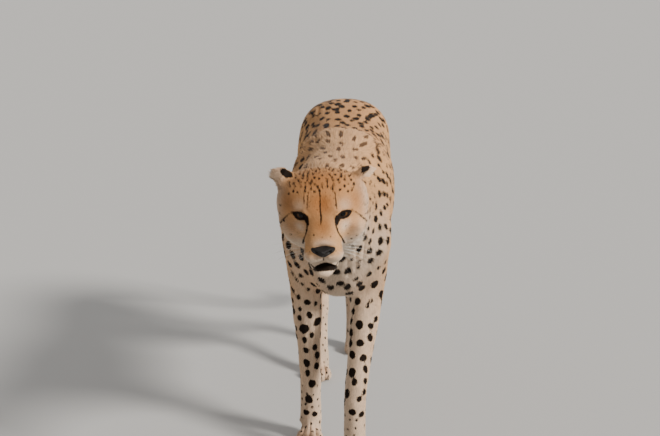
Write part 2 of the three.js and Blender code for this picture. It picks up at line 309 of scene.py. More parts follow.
# Moves of the head's surface: place (side, forward, up), reach, and shift, all in millimetres.
HEAD_MOVES = [
    ((36, 14, 21), (17, 14, 8), (1.5, 6, -2)),  # brow ridge over the eye
    ((22, 22, 20), (9, 12, 9), (0, 1.5, 1.5)),  # inner end of the brow
    ((38, 20, 6), (15, 14, 9), (0, -2.5, 0)),  # eye socket
    ((22, 30, -6), (7, 12, 8), (-2.5, -1.5, -1)),  # hollow between the eye and the muzzle
    ((52, 12, -14), (14, 16, 12), (3, 3, 0)),  # cheekbone
    ((0, 20, 36), (8, 20, 14), (0, -2.0, -1)),  # furrow of the forehead
    ((0, 46, 2), (14, 22, 8), (0, 0.5, -1.5)),  # flat bridge of the nose
    ((24, 70, -42), (12, 14, 13), (3.5, 2, 0)),  # whisker pad
    ((0, 88, -46), (3.4, 12, 9), (0, -4, 0)),  # groove under the nose
    ((33, 44, -51), (12, 14, 10), (3, 1, -2)),  # hanging upper lip
    ((38, 22, -62), (10, 12, 8), (-3, 0, 2)),  # corner of the mouth
    ((0, 76, -83), (12, 8, 8), (0, 2, 0)),  # chin
    ((62, 20, -34), (20, 24, 20), (3, 0, 0)),  # cheek fur
    ((43, 20, -60), (16, 20, 14), (2, 2, -6)),  # jowl
]
MOVES_BACK, MOVES_FRONT, MOVES_LOW = -130, 110, -125  # nothing moves beyond these


def sculpt_head(mesh):
    co = coordinates(mesh)
    local = to_head(co)
    ahead, up = local[:, 1], local[:, 2]
    moves = ((ahead > MOVES_BACK) & (ahead < MOVES_FRONT) & (up > MOVES_LOW))[:, None]
    local = local + surface_moves(local, HEAD_MOVES) * moves
    set_coordinates(mesh, np.where(moves, from_head(local), co))


# ---------------------------------------------------------------- eyelids and mouth

EYE_AT = (37, 8, 6)  # side, forward, up
EYE_RADIUS = 14.6
EYE_OPENS = (0.15, 0.88, 0.45)  # the way the opening between the lids faces
GAZE = (0.04, 0.86, 0.5)
LID_LENGTH = 12.5  # half the length of the opening
LID_HEIGHT = 4.4
LID_SHARES = (0.76, 1.15)  # of that height, over the line between its corners and under it
LID_SLANT = math.radians(17)  # its outer corner is the higher one
LID_THICK = 1.7
LID_NEAR = 30  # skin further from the opening is left alone,
LID_OVER = 9  # and so is skin further out than this over the lid
LID_FADE = (0.5, 8)  # from the edge of the opening: where the lid starts to leave the eyeball
LID_SWELL = 0.25  # how fast it thickens there
LID_SINK = (5, 1.6)  # inside the opening: how deep the skin drops, and within what width
FACE_VIEW = math.radians(32)  # the face plane leans back by this much


def lid_axes():
    """The middle of the left eye, and the axes of its opening: along, up and out."""
    out = unit(np.array(EYE_OPENS))
    along = np.array((math.cos(LID_SLANT), 0, math.sin(LID_SLANT)))
    along = unit(along - out * (along @ out))
    return np.array(EYE_AT, float), along, unit(np.cross(along, out)), out


def lid_distance(local):
    """Millimetres from the edge of the opening of the nearer eye: negative inside it."""
    centre, along, up, out = lid_axes()
    seat = both_sides(local) - centre
    run = seat @ along / LID_LENGTH
    rise = seat @ up
    edge = LID_HEIGHT * (1 - np.minimum(run * run, 1)) * np.where(rise > 0, *LID_SHARES)
    beyond = np.maximum(np.abs(run) - 1, 0) * LID_LENGTH
    gap = np.where(beyond > 0, np.hypot(beyond, rise), (np.abs(rise) - edge) * 0.85)
    return np.where(seat @ out > 0, gap, FAR)


def shape_lids(local):
    """The skin round each opening lies on the eyeball as a thin lid; inside the opening it drops
    behind the eyeball."""
    gap = lid_distance(local)
    centre = np.array(EYE_AT) * side_signs(local)
    away = local - centre
    reach = np.linalg.norm(away, axis=1)
    lid = EYE_RADIUS + LID_THICK
    close = 1 - smoothstep(gap, *LID_FADE)
    laid = np.maximum(reach, lid) * (1 - close) + (lid + np.maximum(gap, 0) * LID_SWELL) * close
    sunk = EYE_RADIUS - LID_SINK[0] * smoothstep(-gap, 0.0, LID_SINK[1])
    shaped = (np.abs(gap) < LID_NEAR) & (reach < lid + LID_OVER)
    target = np.where(shaped, np.where(gap < 0, sunk, laid), reach)
    return centre + away * (target / np.maximum(reach, 1e-6))[:, None]


MOUTH_AT = (2.5, -95)  # side and rise in the face plane
MOUTH_HALF = (18.6, 6.5)
MOUTH_BEND = 0.007  # its corners hang
MOUTH_TILT = 0.04  # and the left one is a little higher
MOUTH_PEAK = 0.45  # the upper lip comes down this much towards the corners
MOUTH_ROUND = 2.2  # 2 is an ellipse
MOUTH_DEPTH = 16
MOUTH_FRONT = (34, -48)  # forward of this and under this
LIP_ROLL = 2.4
LIP_LINE = (-84, 7, 1.1)  # middle, half length and half width of the line over it
LIP_LINE_FRONT = (70, -30)


def face_plane(local):
    """Side and rise as seen from the front and above, in the plane that the face looks along."""
    rise = local[:, 2] * math.cos(FACE_VIEW) - local[:, 1] * math.sin(FACE_VIEW)
    return np.stack([local[:, 0], rise], 1)


def mouth_distance(local):
    """Millimetres outside the edge of the parted lips, negative inside."""
    seat = face_plane(local) - MOUTH_AT
    seat[:, 1] += MOUTH_BEND * seat[:, 0] ** 2 - MOUTH_TILT * seat[:, 0]
    seat /= MOUTH_HALF
    lip = 1 + MOUTH_PEAK * np.minimum(np.abs(seat[:, 0]), 1)
    seat[:, 1] *= np.where(seat[:, 1] > 0, lip, 1)
    round_by = (np.abs(seat) ** MOUTH_ROUND).sum(1) ** (1 / MOUTH_ROUND)
    front = (local[:, 1] > MOUTH_FRONT[0]) & (local[:, 2] < MOUTH_FRONT[1])
    return np.where(front, (round_by - 1) * MOUTH_HALF[1], FAR)


def lip_line_distance(local):
    """Millimetres outside the dark line from the nose down to the parted lips."""
    side, rise = face_plane(local).T
    at, half_length, half_width = LIP_LINE
    past = np.maximum(np.abs(rise - at) - half_length, 0)
    front = (local[:, 1] > LIP_LINE_FRONT[0]) & (local[:, 2] < LIP_LINE_FRONT[1])
    return np.where(front, np.hypot(side, past) - half_width, FAR)


def open_mouth(local):
    inside = smoothstep(-mouth_distance(local), 0, LIP_ROLL)
    return local - inside[:, None] * (0, MOUTH_DEPTH, 0)


def refine(mesh, chosen):
    """Splits the edges whose two ends are both chosen."""
    bm = bmesh.new()
    bm.from_mesh(mesh)
    bm.verts.ensure_lookup_table()
    edges = [e for e in bm.edges if chosen[e.verts[0].index] and chosen[e.verts[1].index]]
    bmesh.ops.subdivide_edges(bm, edges=edges, cuts=1, use_grid_fill=True)
    bmesh.ops.triangulate(bm, faces=[f for f in bm.faces if len(f.verts) > 4])
    bm.to_mesh(mesh)
    bm.free()


HEAD_SIDE, HEAD_BACK, HEAD_FRONT, HEAD_LOW = 100, -112, 110, -120
MUZZLE = 50  # forward of this, and no further aside


def on_head(local):
    side, ahead, up = np.abs(local[:, 0]), local[:, 1], local[:, 2]
    return (ahead > HEAD_BACK) & (ahead < HEAD_FRONT) & (side < HEAD_SIDE) & (up > HEAD_LOW)


def near_features(local):
    """Where the head needs finer faces: the eyes, the mouth and the end of the muzzle."""
    side, ahead = np.abs(local[:, 0]), local[:, 1]
    muzzle = (ahead > MUZZLE) & (side < MUZZLE)
    return (ahead > 0) & on_head(local) & ((lid_distance(local) < 9) | muzzle)


# The middle of each paw on the floor, in millimetres, and its turn outwards in degrees.
PAWS = [(33.5, -355.7, 3), (-65.5, -201.7, -5), (46.5, 418.3, 9), (-47.5, 218.3, -4)]
PAW_REACH = 75
PAW_HEIGHT = 50 * MM
# Grooves between the toes: how far aside, and how much further for each millimetre ahead.
TOE_GROOVES = [(-15.8, -0.14), (0, 0), (15.8, 0.14)]
GROOVE_DEPTH, GROOVE_HALF = 4.2, 2.5
GROOVE_AHEAD, GROOVE_UP = (4, 24), (2, 8)  # where they begin, over this much
GROOVE_MIDDLE = 28  # this far ahead they are at the places given
TOES = [(-22, 20), (-8.5, 33), (8.5, 33), (22, 20)]  # aside and ahead
# Over each toe: how high it swells, how far ahead of the toe's place, at what height, its reach.
KNUCKLE = (2.4, 6, 27, (7, 10, 9))
KNUCKLE_HOLLOW = (-1.4, -16, 34, (8, 8, 10))


def on_paws(co):
    """Near the toes: the low part of each leg."""
    return co[:, 2] < PAW_HEIGHT


def shape_paws(co, normals):
    """Grooves between the toes, knuckles over them and a hollow behind the knuckles."""
    shift = np.zeros(len(co))
    for x, y, turn in PAWS:
        cosine, sine = math.cos(math.radians(turn)), math.sin(math.radians(turn))
        east, north = co[:, 0] / MM - x, co[:, 1] / MM - y
        aside, ahead = east * cosine + north * sine, east * sine - north * cosine
        up = co[:, 2] / MM
        at = np.stack([aside, ahead, up], 1)
        near = np.hypot(aside, ahead) < PAW_REACH
        length = smoothstep(ahead, *GROOVE_AHEAD) * smoothstep(up, *GROOVE_UP)
        for start, fan in TOE_GROOVES:
            off = aside - start - fan * (ahead - GROOVE_MIDDLE)
            shift -= near * GROOVE_DEPTH * length * np.exp(-(off / GROOVE_HALF) ** 2)
        for toe, front in TOES:
            for swell, forward, height, reach in (KNUCKLE, KNUCKLE_HOLLOW):
                shift += near * swell * bump(at, (toe, front + forward, height), reach)
    return co + normals * (shift * MM)[:, None]


# Rounds of averaging: of the whole skin, and of what each piece says, over their borders.
SKIN_ROUNDS, SMOOTHING_ROUNDS, DEPTH_ROUNDS = 60, 12, 14
SKIN_SHARE = 0.6  # the most that one round averages
EYE_BARE, EYE_THINNER = (2, 10), 0.8  # how near the lids the coat thins, and how much
LID_FINE = 3  # how near their edges the skin has its finest faces


def coat_depth(spread, owner):
    """The depth of the coat over each vertex, blended from piece to piece."""
    return spread.smooth(coat_column(owner, DEPTH), DEPTH_ROUNDS) * MM


def shape_skin():
    """The finished skin, and for each vertex its piece of flesh and the depth of coat over it."""
    mesh = flesh_cast()
    co = coordinates(mesh)
    spread = Spread(mesh)
    soft = coat_column(nearest_pieces(co), SMOOTHING)
    soft = spread.smooth(soft, SMOOTHING_ROUNDS) * SKIN_SHARE
    once = spread.smooth(co, SKIN_ROUNDS, soft)
    co = once + spread.smooth(co - once, SKIN_ROUNDS, soft)  # gives back the lost size
    set_coordinates(mesh, spread.smooth(co, 2))
    for finer in (on_head, near_features):
        refine(mesh, finer(to_head(coordinates(mesh))))
    refine(mesh, on_paws(coordinates(mesh)))
    spread = Spread(mesh)
    set_coordinates(mesh, spread.smooth(coordinates(mesh), 3))
    sculpt_head(mesh)
    co = coordinates(mesh)
    local = to_head(co)
    bare = (1 - smoothstep(lid_distance(local), *EYE_BARE)) * on_head(local)
    depth = coat_depth(spread, nearest_pieces(co)) * (1 - EYE_THINNER * bare)
    co = shape_paws(co, vertex_normals(mesh))
    set_coordinates(mesh, co - vertex_normals(mesh) * depth[:, None])
    local = to_head(coordinates(mesh))
    refine(mesh, (np.abs(lid_distance(local)) < LID_FINE) & on_head(local))
    co = coordinates(mesh)
    local = to_head(co)
    shaped = from_head(open_mouth(shape_lids(local)))
    set_coordinates(mesh, np.where(on_head(local)[:, None], shaped, co))
    owner = nearest_pieces(coordinates(mesh))
    return mesh, owner, coat_depth(Spread(mesh), owner)


# ---------------------------------------------------------------- the lie of the coat

NOSE_TIP = (0, 104, -34)  # the fur of the head lies away from here
# The way that the side of each ear with the black patch faces: the back of the left ear, and the
# hollow of the right ear that faces ahead, where the black is painted shade.
EAR_DARK_SIDE = {"left": (-0.25, -0.2, 0.95), "right": (0.3, 0.6, 0.7)}
EAR_TIP = {"left": (0.95, -0.25, 0.22), "right": (-0.88, -0.2, 0.38)}
# From the middle of the ear's piece: back towards its base, and across; half the width and height.
EAR_BLACK = {"left": (16, 0, 21, 14.5), "right": (11, 9, 12.5, 9)}


def flatten(vectors, normals):
    """The part of each vector that lies in the surface."""
    return unit(vectors - normals * (vectors * normals).sum(1)[:, None])


def lie_of_coat(mesh, owner, spread):
    co = coordinates(mesh)
    normals = vertex_normals(mesh)
    lie = np.zeros_like(co)
    for index, node in enumerate(FLESH):
        chosen = owner == index
        toward = piece_row(PIECE_COAT, node)[LIE]
        if toward is not None:
            lie[chosen] = unit(np.array(toward, float))
        elif node.startswith("ear"):
            tip = np.array(EAR_TIP[node[4:]]) * (1, -1, 1)
            lie[chosen] = HEAD_TURN @ unit(tip)
        else:
            lie[chosen] = unit(co[chosen] - from_head(NOSE_TIP))
    lie = flatten(lie, normals)
    return flatten(spread.smooth(lie, 25, 0.6), normals)


# ---------------------------------------------------------------- markings: their places

# Lines on the head: side, forward, up and half width in millimetres, laid on both sides, on the
# animal's own left only, or on its right only.
SIDES = {"both": (1, -1), "left": (1,), "right": (-1,)}
HEAD_LINES = [
    ("both", [(27, 30, 9, 4.0), (25.5, 36, 3, 3.2)]),  # inner corner of the eye
    ("both", [(52, 11, 16, 1.2), (58, 6, 8, 1.7), (63, 0, -2, 2.2), (69, -7, -13, 2.7),
              (73, -16, -27, 2.4)]),  # from the outer corner of the eye
    ("both", [(24, -8, 43, 0.7), (25, 5, 38, 1.1), (26, 16, 31, 1.2), (26.5, 23, 25, 0.9)]),
    ("right", [(32, -3, 41, 0.9), (32, 13, 32, 1.0)]),
    ("left", [(-3, -14, 46, 0.9), (-3, 10, 37, 1.4), (-3, 26, 26, 1.6), (-2, 36, 15, 1.7),
              (-3, 44, 6, 0.9)]),  # furrow of the forehead
    ("both", [(22, 62, -75, 1.9), (28, 52, -72, 1.7), (34, 42, -69, 1.6), (40, 30, -64, 1.5),
              (42, 24, -60, 1.1)]),  # lips, back from the corner of the mouth
]

# Tear lines, as they show from the camera: x and y in the 660 by 436 view, and half width in
# millimetres.
VIEW_LINES = [
    [(306.8, 217, 3.4), (307.5, 221.5, 2.5), (307.4, 226, 2.0), (306.7, 231.4, 2.1),
     (305.2, 237, 2.4), (303, 242.9, 2.4)],
    [(336.6, 217, 3.4), (335.7, 221.5, 2.4), (336.3, 227, 2.0), (338.4, 232.9, 2.1),
     (341.4, 238.2, 2.5), (344.2, 242.8, 2.4)],
]

# Single dark spots on the head: side, forward, up and half width.
HEAD_SPOTS = [
    (-30, -10, 43, 3.2), (19, -13, 46, 3.6), (-1, 65, -8, 1.3), (14, 63, -8, 1.5),
    (-16, 58, -7, 2.0), (41, 27, -9, 1.7), (45, 20, -30, 1.8), (58, 4, -38, 2.4),
    (52, 14, -46, 2.6), (-56, 6, -30, 2.6), (-62, -4, -12, 3.0), (-47, 22, -24, 1.6),
    (66, -8, -44, 3.0), (-66, -12, -40, 3.0),
]

# Spots that show from the camera: x and y in the 660 by 436 view, and half width in millimetres.
VIEW_SPOTS = [
    # neck and flank, down its left side
    (382.7, 154.3, 6.5), (389.1, 153.4, 5.4), (372, 156.4, 6.5), (378.4, 165.7, 6.5),
    (386.3, 166.6, 6.5), (382.6, 172.6, 6.5), (389.8, 174.3, 5.4), (388.3, 161, 5.4),
    (390.3, 197.1, 5.4), (377.8, 179, 7.8), (383, 181.6, 7.8), (386.5, 184, 6.5),
    (378.8, 193.9, 9.7), (383.4, 194.4, 9.1), (386.7, 196, 7.8), (375.3, 206.6, 7.8),
    (384, 208, 8.4), (386.7, 204.6, 6.5), (380.4, 213.3, 8.4), (389.5, 211, 7.8),
    (379.3, 227, 9.1), (385, 226, 9.1), (372.7, 231, 7.8), (369.6, 240.8, 9.1),
    (379.9, 240.8, 9.7), (387.5, 240.8, 9.1), (368.6, 250.5, 8.4), (378.3, 252, 10),
    (369.7, 260.2, 9.7), (378.3, 267.3, 10), (369.1, 273.5, 8.4), (374.2, 284.2, 9.7),
    (358.4, 248.5, 9.1), (359.4, 260.2, 5.8), (351.8, 258.7, 5.8), (357.9, 266.3, 5.8),
    (384.5, 262, 9.1), (385, 276, 9.1), (381, 294, 9.1),
    # chest
    (355.4, 278, 7.2), (340, 282.7, 8.8), (361.5, 287.8, 8.2), (348.7, 292.3, 11),
    (371.2, 300, 8.8), (293, 273, 7.2), (301.3, 275.5, 6.6), (296.7, 279.6, 5.5),
    (302.3, 283.7, 5.5), (290.6, 281.6, 6.6), (298.7, 297, 8.8), (306.9, 302, 7.7),
    (293.5, 290, 6.6), (308, 289, 5.5), (318, 284, 5.5),
    # forelegs
    (367.5, 306, 10), (376, 319, 9.8), (317, 322, 9.8), (304, 329, 10.6), (295, 324, 9.8),
    (314.5, 347, 10), (305.5, 350, 9.8), (296, 343, 8.5), (294, 310, 8.5), (306, 363, 9.2),
    (316, 366, 7.3), (298, 369, 7.3), (312, 384, 8.5), (301, 386, 7.3), (309, 399, 8.5),
    (306, 412, 6.7), (315, 414, 6.1), (360.5, 343, 10.6), (370, 338, 9.8), (375, 343, 9.8),
    (352, 372, 8.6), (372, 361, 9.8), (352, 355, 8.5), (363, 358, 7.3), (359, 399, 9.8),
    (368, 380, 8.5), (364, 392, 7.3), (347, 393, 8.5), (352, 412, 7.3), (362, 414, 6.7),
    (349, 330, 7.3), (359, 325, 9.8), (371, 326, 8.5),
]

VIEW_SPOT_SCALE = 1.15
VIEW_SPOT_LIMIT = 0.37  # no wider than this share of the way to the next one
WHISKER_SPOT = 0.8

NO_SPOTS = 99
# For each piece of flesh: the gap between spots, half of a spot's width, and how far it is drawn
# out along the coat.
PIECE_SPOTS = {
    "head": (16, 2.6, 1.2), "jaw": (NO_SPOTS, 1, 1), "ear": (NO_SPOTS, 1, 1),
    "neck": (20, 6.6, 1.4), "chest": (23.5, 9.6, 1.3),
    "belly": (21, 9.3, 1.15), "rump": (20.5, 9.3, 1.2),
    "tail_root": (24, 7.5, 1.1), "tail_middle": (25, 8, 1.0), "tail_tip": (NO_SPOTS, 1, 1),
    "upper_foreleg": (24, 9.2, 1.25), "forearm": (21, 7.4, 1.3), "forepaw": (14, 3.4, 1.1),
    "thigh": (24, 9.8, 1.4), "shank": (21, 7.8, 1.35), "hindpaw": (14, 3.2, 1.1),
}
CROWN_SPOTS = (8.0, 3.2, 1.3)
FOREHEAD_SPOTS = (7.5, 1.1, 1.5)
NAPE_SPOTS = (24, 9.5, 4.0)
# Where they lie: from this rise in the face plane, and no further aside than this.
CROWN_FROM, CROWN_HALF = 40, 60
FOREHEAD_FROM, FOREHEAD_HALF = 8, 24
# The face has none forward of this, and none further back where it rises over this.
FACE_BACK, BROW_RISE, BROW_BACK = -18, 20, -60
SPOT_TRIES = 42000
MOST_SPOTS = 6000
RIPPLES = (0.09, 0.10, 0.06)  # how much one, two and three waves round a spot bend its edge

# The middle of the tail from its root to its tip, in millimetres, and the dark rings along it: the
# distance of each from the tip, and half its width.
TAIL_PATH = [(14, 386, 652), (14, 446, 630), (18, 498, 560), (25, 532, 470), (33, 558, 370),
             (42, 594, 275), (52, 651, 205), (61, 721, 180), (66, 791, 197)]
TAIL_RINGS = [(52, 15), (104, 14), (154, 14), (202, 12), (246, 10), (286, 7)]
TAIL_WHITE = 42  # length of the white tip
RING_WAVE = 2.0  # how far a ring's edge wanders
NAPE_FAINT = 0.25  # how much fainter the marks of the nape are
LINE_STEP = 4  # the most between two places of a line on the skin
EYE_RIM, MOUTH_RIM = 3.5, 1.6  # width of the black skin round the eyes and the lips

WHISKER_ROWS, WHISKERS_IN_ROW = 4, 5
WHISKER_FIRST = (22, 74, -33)  # side, forward and up of the first one of the top row
WHISKER_NEXT = (3.2, -5.5, 0.8)  # from one to the next in its row
WHISKER_ROW = -5.2  # down to the next row


def whisker_roots():
    """Side, row, place in the row, and the root of each whisker in the head's own frame."""
    for side in (1, -1):
        for row in range(WHISKER_ROWS):
            for place in range(WHISKERS_IN_ROW):
                aside = side * (WHISKER_FIRST[0] + WHISKER_NEXT[0] * place)
                ahead = WHISKER_FIRST[1] + WHISKER_NEXT[1] * place
                up = WHISKER_FIRST[2] + WHISKER_ROW * row + WHISKER_NEXT[2] * place
                yield side, row, place, (aside, ahead, up)


def view_ray(x, y):
    """The way from the camera through a place in its view."""
    across = (x - VIEW_SIZE[0] / 2) / FOCAL_PIXELS
    down = (y - VIEW_SIZE[1] / 2) / FOCAL_PIXELS
    ray = Vector((across, -down, -1))
    ray.rotate(Euler((math.pi / 2 - CAMERA_TILT, 0, 0)))
    return ray.normalized()


def camera_place():
    between_eyes = HEAD.translation
    return Vector((between_eyes.x + CAMERA_ASIDE, between_eyes.y - CAMERA_AHEAD, CAMERA_HEIGHT))


class Spots:
    """Rounded dark spots on the skin."""

    def __init__(self, at, half, drawn, lie, normal, rng):
        self.at = np.array(at)
        self.half = np.array(half)
        self.drawn = np.array(drawn)
        self.lie = np.array(lie)
        self.normal = np.array(normal)
        self.aside = np.cross(self.lie, self.normal)
        self.phase = rng.uniform(0, 2 * math.pi, (len(self.at), len(RIPPLES)))
        self.tree = point_tree(self.at)

    def distance(self, points, count=4):
        """Millimetres outside the edge of the nearest spot, negative inside."""
        near = np.array([[hit[1] for hit in self.tree.find_n(p, count)] for p in points.tolist()])
        best = np.full(len(points), FAR)
        for index in near.T:
            away = (points - self.at[index]) / MM
            along = (away * self.lie[index]).sum(1)
            aside = (away * self.aside[index]).sum(1)
            over = (away * self.normal[index]).sum(1)
            drawn = np.sqrt(self.drawn[index])
            reach = np.sqrt((along / drawn) ** 2 + (aside * drawn) ** 2 + (over * 0.7) ** 2)
            turn = np.arctan2(aside, along)
            ripple = 1
            for waves, (share, phase) in enumerate(zip(RIPPLES, self.phase[index].T), 1):
                ripple = ripple + share * np.sin(waves * turn + phase)
            best = np.minimum(best, reach - self.half[index] * ripple)
        return best


def spot_rules(co, normals, owner, rng):
    """The gap, the half width and the drawing out of the spots round each vertex of the skin."""
    local = to_head(co)
    side, ahead, rise = np.abs(local[:, 0]), local[:, 1], face_plane(local)[:, 1]
    rules = np.array([piece_row(PIECE_SPOTS, node) for node in FLESH], float)[owner]
    gap = rules[:, 0]
    head = on_pieces(owner, "head")
    crown = head & (rise > CROWN_FROM) & (side < CROWN_HALF)
    forehead = head & (rise > FOREHEAD_FROM) & (rise <= CROWN_FROM) & (side < FOREHEAD_HALF)
    face = (ahead > FACE_BACK) | (rise > BROW_RISE) & (ahead > BROW_BACK)
    plain = head & ~crown & ~forehead & face
    rules[crown] = CROWN_SPOTS
    rules[forehead] = FOREHEAD_SPOTS
    gap[plain] = NO_SPOTS
    rules[nape_share(co, normals) > 0.5] = NAPE_SPOTS
    gap[belly_share(co, normals, owner) > 0.75] = NO_SPOTS
    gap *= 0.94 + 0.12 * rng.random(len(co))
    return rules.T


def lay_view_spots(tree):
    """The places of VIEW_SPOTS on the skin, and their half widths, kept clear of one another."""
    hits = [tree.ray_cast(camera_place(), view_ray(x, y))[0] for x, y, _ in VIEW_SPOTS]
    at = [place for place in hits if place is not None]
    wide = [spot[2] for spot, place in zip(VIEW_SPOTS, hits) if place is not None]
    apart = np.linalg.norm(np.array(at)[:, None] - np.array(at)[None], axis=2)
    limit = (apart + FAR_OFF * np.eye(len(at))).min(1) / MM * VIEW_SPOT_LIMIT
    return at, list(np.minimum(np.array(wide) * VIEW_SPOT_SCALE, limit))


def lay_spots(mesh, owner, lie, tree, rng):
    """The spots that show from the camera, those of the head, and the rest spread over the skin so
    that no two come nearer than their gap, which is drawn out along the coat as they are."""
    co = coordinates(mesh)
    normals = vertex_normals(mesh)
    gap, half, drawn = spot_rules(co, normals, owner, rng)
    at, sizes = lay_view_spots(tree)
    round_ones = len(at)
    for *place, wide in HEAD_SPOTS + [(*root, WHISKER_SPOT) for *_, root in whisker_roots()]:
        at.append(tree.find_nearest(Vector(from_head(place)))[0])
        sizes.append(wide)
    corners = point_tree(co)
    chosen = [corners.find(place)[1] for place in at]
    count = len(at)
    placed = np.full((MOST_SPOTS, 3), FAR_OFF)
    placed[:count] = np.array(at)
    for index in rng.permutation(np.flatnonzero(gap < NO_SPOTS * 0.8))[:SPOT_TRIES]:
        away = placed[:count] - co[index]
        along = away @ lie[index]
        apart = ((away ** 2).sum(1) - along ** 2 * (1 - 1 / drawn[index])).min()
        if apart > (gap[index] * MM) ** 2:
            placed[count] = co[index]
            count += 1
            chosen.append(index)
            sizes.append(half[index] * rng.uniform(0.84, 1.14))
    stretch = drawn[chosen]
    stretch[:round_ones] = 1.0
    return Spots(placed[:count], sizes, stretch, lie[chosen], normals[chosen], rng)


def lay_lines(tree):
    """The lines of the head as short straight lengths on the skin: both ends of each, and the half
    widths there."""
    lines = []
    for points in VIEW_LINES:
        dense = [np.array(start) * (1 - t) + np.array(end) * t
                 for start, end in zip(points[:-1], points[1:]) for t in (0, 1 / 3, 2 / 3, 1)]
        lines.append([(*tree.ray_cast(camera_place(), view_ray(x, y))[0], wide)
                      for x, y, wide in dense])
    for where, points in HEAD_LINES:
        for side in SIDES[where]:
            mirrored = np.array(points, float) * (side, 1, 1, 1)
            dense = []
            for start, end in zip(mirrored[:-1], mirrored[1:]):
                steps = max(1, int(np.linalg.norm(end - start) / LINE_STEP))
                dense.extend(start + (end - start) * t / steps for t in range(steps))
            dense.append(mirrored[-1])
            lines.append([(*tree.find_nearest(Vector(from_head(p[:3])))[0], p[3]) for p in dense])
    return np.array([(*a, *b) for line in lines for a, b in zip(line[:-1], line[1:])])


def line_distance(points, lengths):
    """Millimetres outside the edge of the nearest line."""
    best = np.full(len(points), FAR)
    for row in lengths:
        start, end, wide = row[:3], row[4:7], (row[3], row[7])
        run = end - start
        t = np.clip((points - start) @ run / max(run @ run, 1e-12), 0, 1)
        away = np.linalg.norm(points - start - t[:, None] * run, axis=1) / MM
        best = np.minimum(best, away - wide[0] - (wide[1] - wide[0]) * t)
    return best


def tail_distance(points):
    """Millimetres from the tip of the tail, measured along it."""
    path = np.array(TAIL_PATH) * MM
    best = np.full(len(points), FAR_OFF)
    along = np.zeros(len(points))
    left = np.linalg.norm(np.diff(path, axis=0), axis=1)[::-1].cumsum()[::-1]
    for index, (start, end) in enumerate(zip(path[:-1], path[1:])):
        run = end - start
        t = np.clip((points - start) @ run / (run @ run), 0, 1)
        away = np.linalg.norm(points - start - t[:, None] * run, axis=1)
        closer = away < best
        best[closer] = away[closer]
        along[closer] = left[index] - t[closer] * np.linalg.norm(run)
    return along / MM


# ---------------------------------------------------------------- markings: shares of colour

NAPE_HEIGHT, NAPE_FRONT, NAPE_BACK = (0.56, 0.66), (-0.66, -0.6), (-0.22, -0.1)  # it fades here


def nape_share(co, normals):
    """1 on the loose pale fur over the neck and shoulders."""
    top = smoothstep(normals[:, 2], 0.5, 0.85) * smoothstep(co[:, 2], *NAPE_HEIGHT)
    return top * smoothstep(co[:, 1], *NAPE_FRONT) * (1 - smoothstep(co[:, 1], *NAPE_BACK))


def belly_share(co, normals, owner):
    """1 under the belly and between the legs."""
    under = smoothstep(-normals[:, 2], 0.45, 0.85)
    inner = np.zeros(len(co))
    for side, sign in (("left", 1), ("right", -1)):
        leg = on_pieces(owner, *(f"{part}_{side}" for part in LEG_PARTS))
        inner = np.where(leg, smoothstep(-normals[:, 0] * sign, 0.35, 0.8) * 0.7, inner)
    return np.where(on_pieces(owner, *TRUNK), under, inner)


def face_share(local, owner):
    """1 on the head, fading to 0 where the neck takes over its colours."""
    return on_pieces(owner, "head", "jaw") * smoothstep(local[:, 1], -96, -52)


# How pale each part of a leg is all round, and where it faces ahead.
PALE_LEGS = {
    "upper_foreleg": (0, 0.5), "forearm": (0.3, 0.6), "shank": (0.3, 0.45),
    "forepaw": (0.5, 0.65), "hindpaw": (0.5, 0.6),
}
# Soft patches on both sides of the head: share, middle (side, forward, up) and reach.
PALE_FACE = [
    (0.62, (42, 14, 26), (13, 13, 7)),  # over the eye
    (0.80, (38, 26, -8), (13, 14, 9)),  # under the eye
    (0.75, (0, 84, -16), (18, 16, 8)),  # over the nose
    (0.70, (84, -44, -2), (18, 50, 60)),  # ruff
    (0.55, (60, 5, -28), (22, 22, 18)),  # cheek
]
RUFOUS_FACE = [
    (0.85, (0, 18, 34), (31, 36, 28)),  # between the brows
    (0.66, (0, -30, 50), (76, 58, 34)),  # crown
    (0.72, (0, 52, 5), (21, 30, 15)),  # bridge of the nose
    (0.55, (60, -6, 24), (26, 38, 24)),  # temple
    (0.42, (54, 16, -14), (12, 13, 12)),  # cheekbone
]


def patches(local, table):
    """The strongest of a table's patches at each place."""
    sided = both_sides(local)
    return np.maximum.reduce([share * bump(sided, *seat) for share, *seat in table])


def pale_share(co, normals, owner):
    """How cream the coat is rather than tan."""
    local = to_head(co)
    ahead, under = -normals[:, 1], -normals[:, 2]
    pale = belly_share(co, normals, owner) * 0.95
    pale = np.maximum(pale, nape_share(co, normals) * 0.10)
    pale = np.maximum(pale, smoothstep(ahead, 0.2, 0.8) * on_pieces(owner, "chest") * 0.8)
    throat = np.maximum(pale, smoothstep(under + ahead * 0.3, 0, 0.55) * 0.95)
    pale = np.where(on_pieces(owner, "neck", "head", "jaw"), throat, pale)
    for part, (all_round, facing) in PALE_LEGS.items():
        shown = all_round + (facing - all_round) * smoothstep(ahead, 0.0, 0.8)
        pale = np.where(on_pieces(owner, part), np.maximum(pale, shown), pale)
    tail = tail_distance(co)
    on_tail = np.maximum(pale, 0.5 * (1 - smoothstep(tail, 60, 330)))
    pale = np.where(on_pieces(owner, "tail"), np.where(tail < TAIL_WHITE, 1, on_tail), pale)
    # Pale lips and chin; the 0.12 taken off under the chin is painted shade beneath the muzzle.
    lips_and_shaded_chin = (0.78 * smoothstep(-local[:, 2], 30, 46)
                     - 0.12 * smoothstep(-local[:, 2], 66, 80))
    face = np.maximum(patches(local, PALE_FACE), lips_and_shaded_chin)
    pale = pale + (face - pale) * face_share(local, owner)
    return np.clip(np.where(on_pieces(owner, "ear"), 0.55, pale), 0, 1)


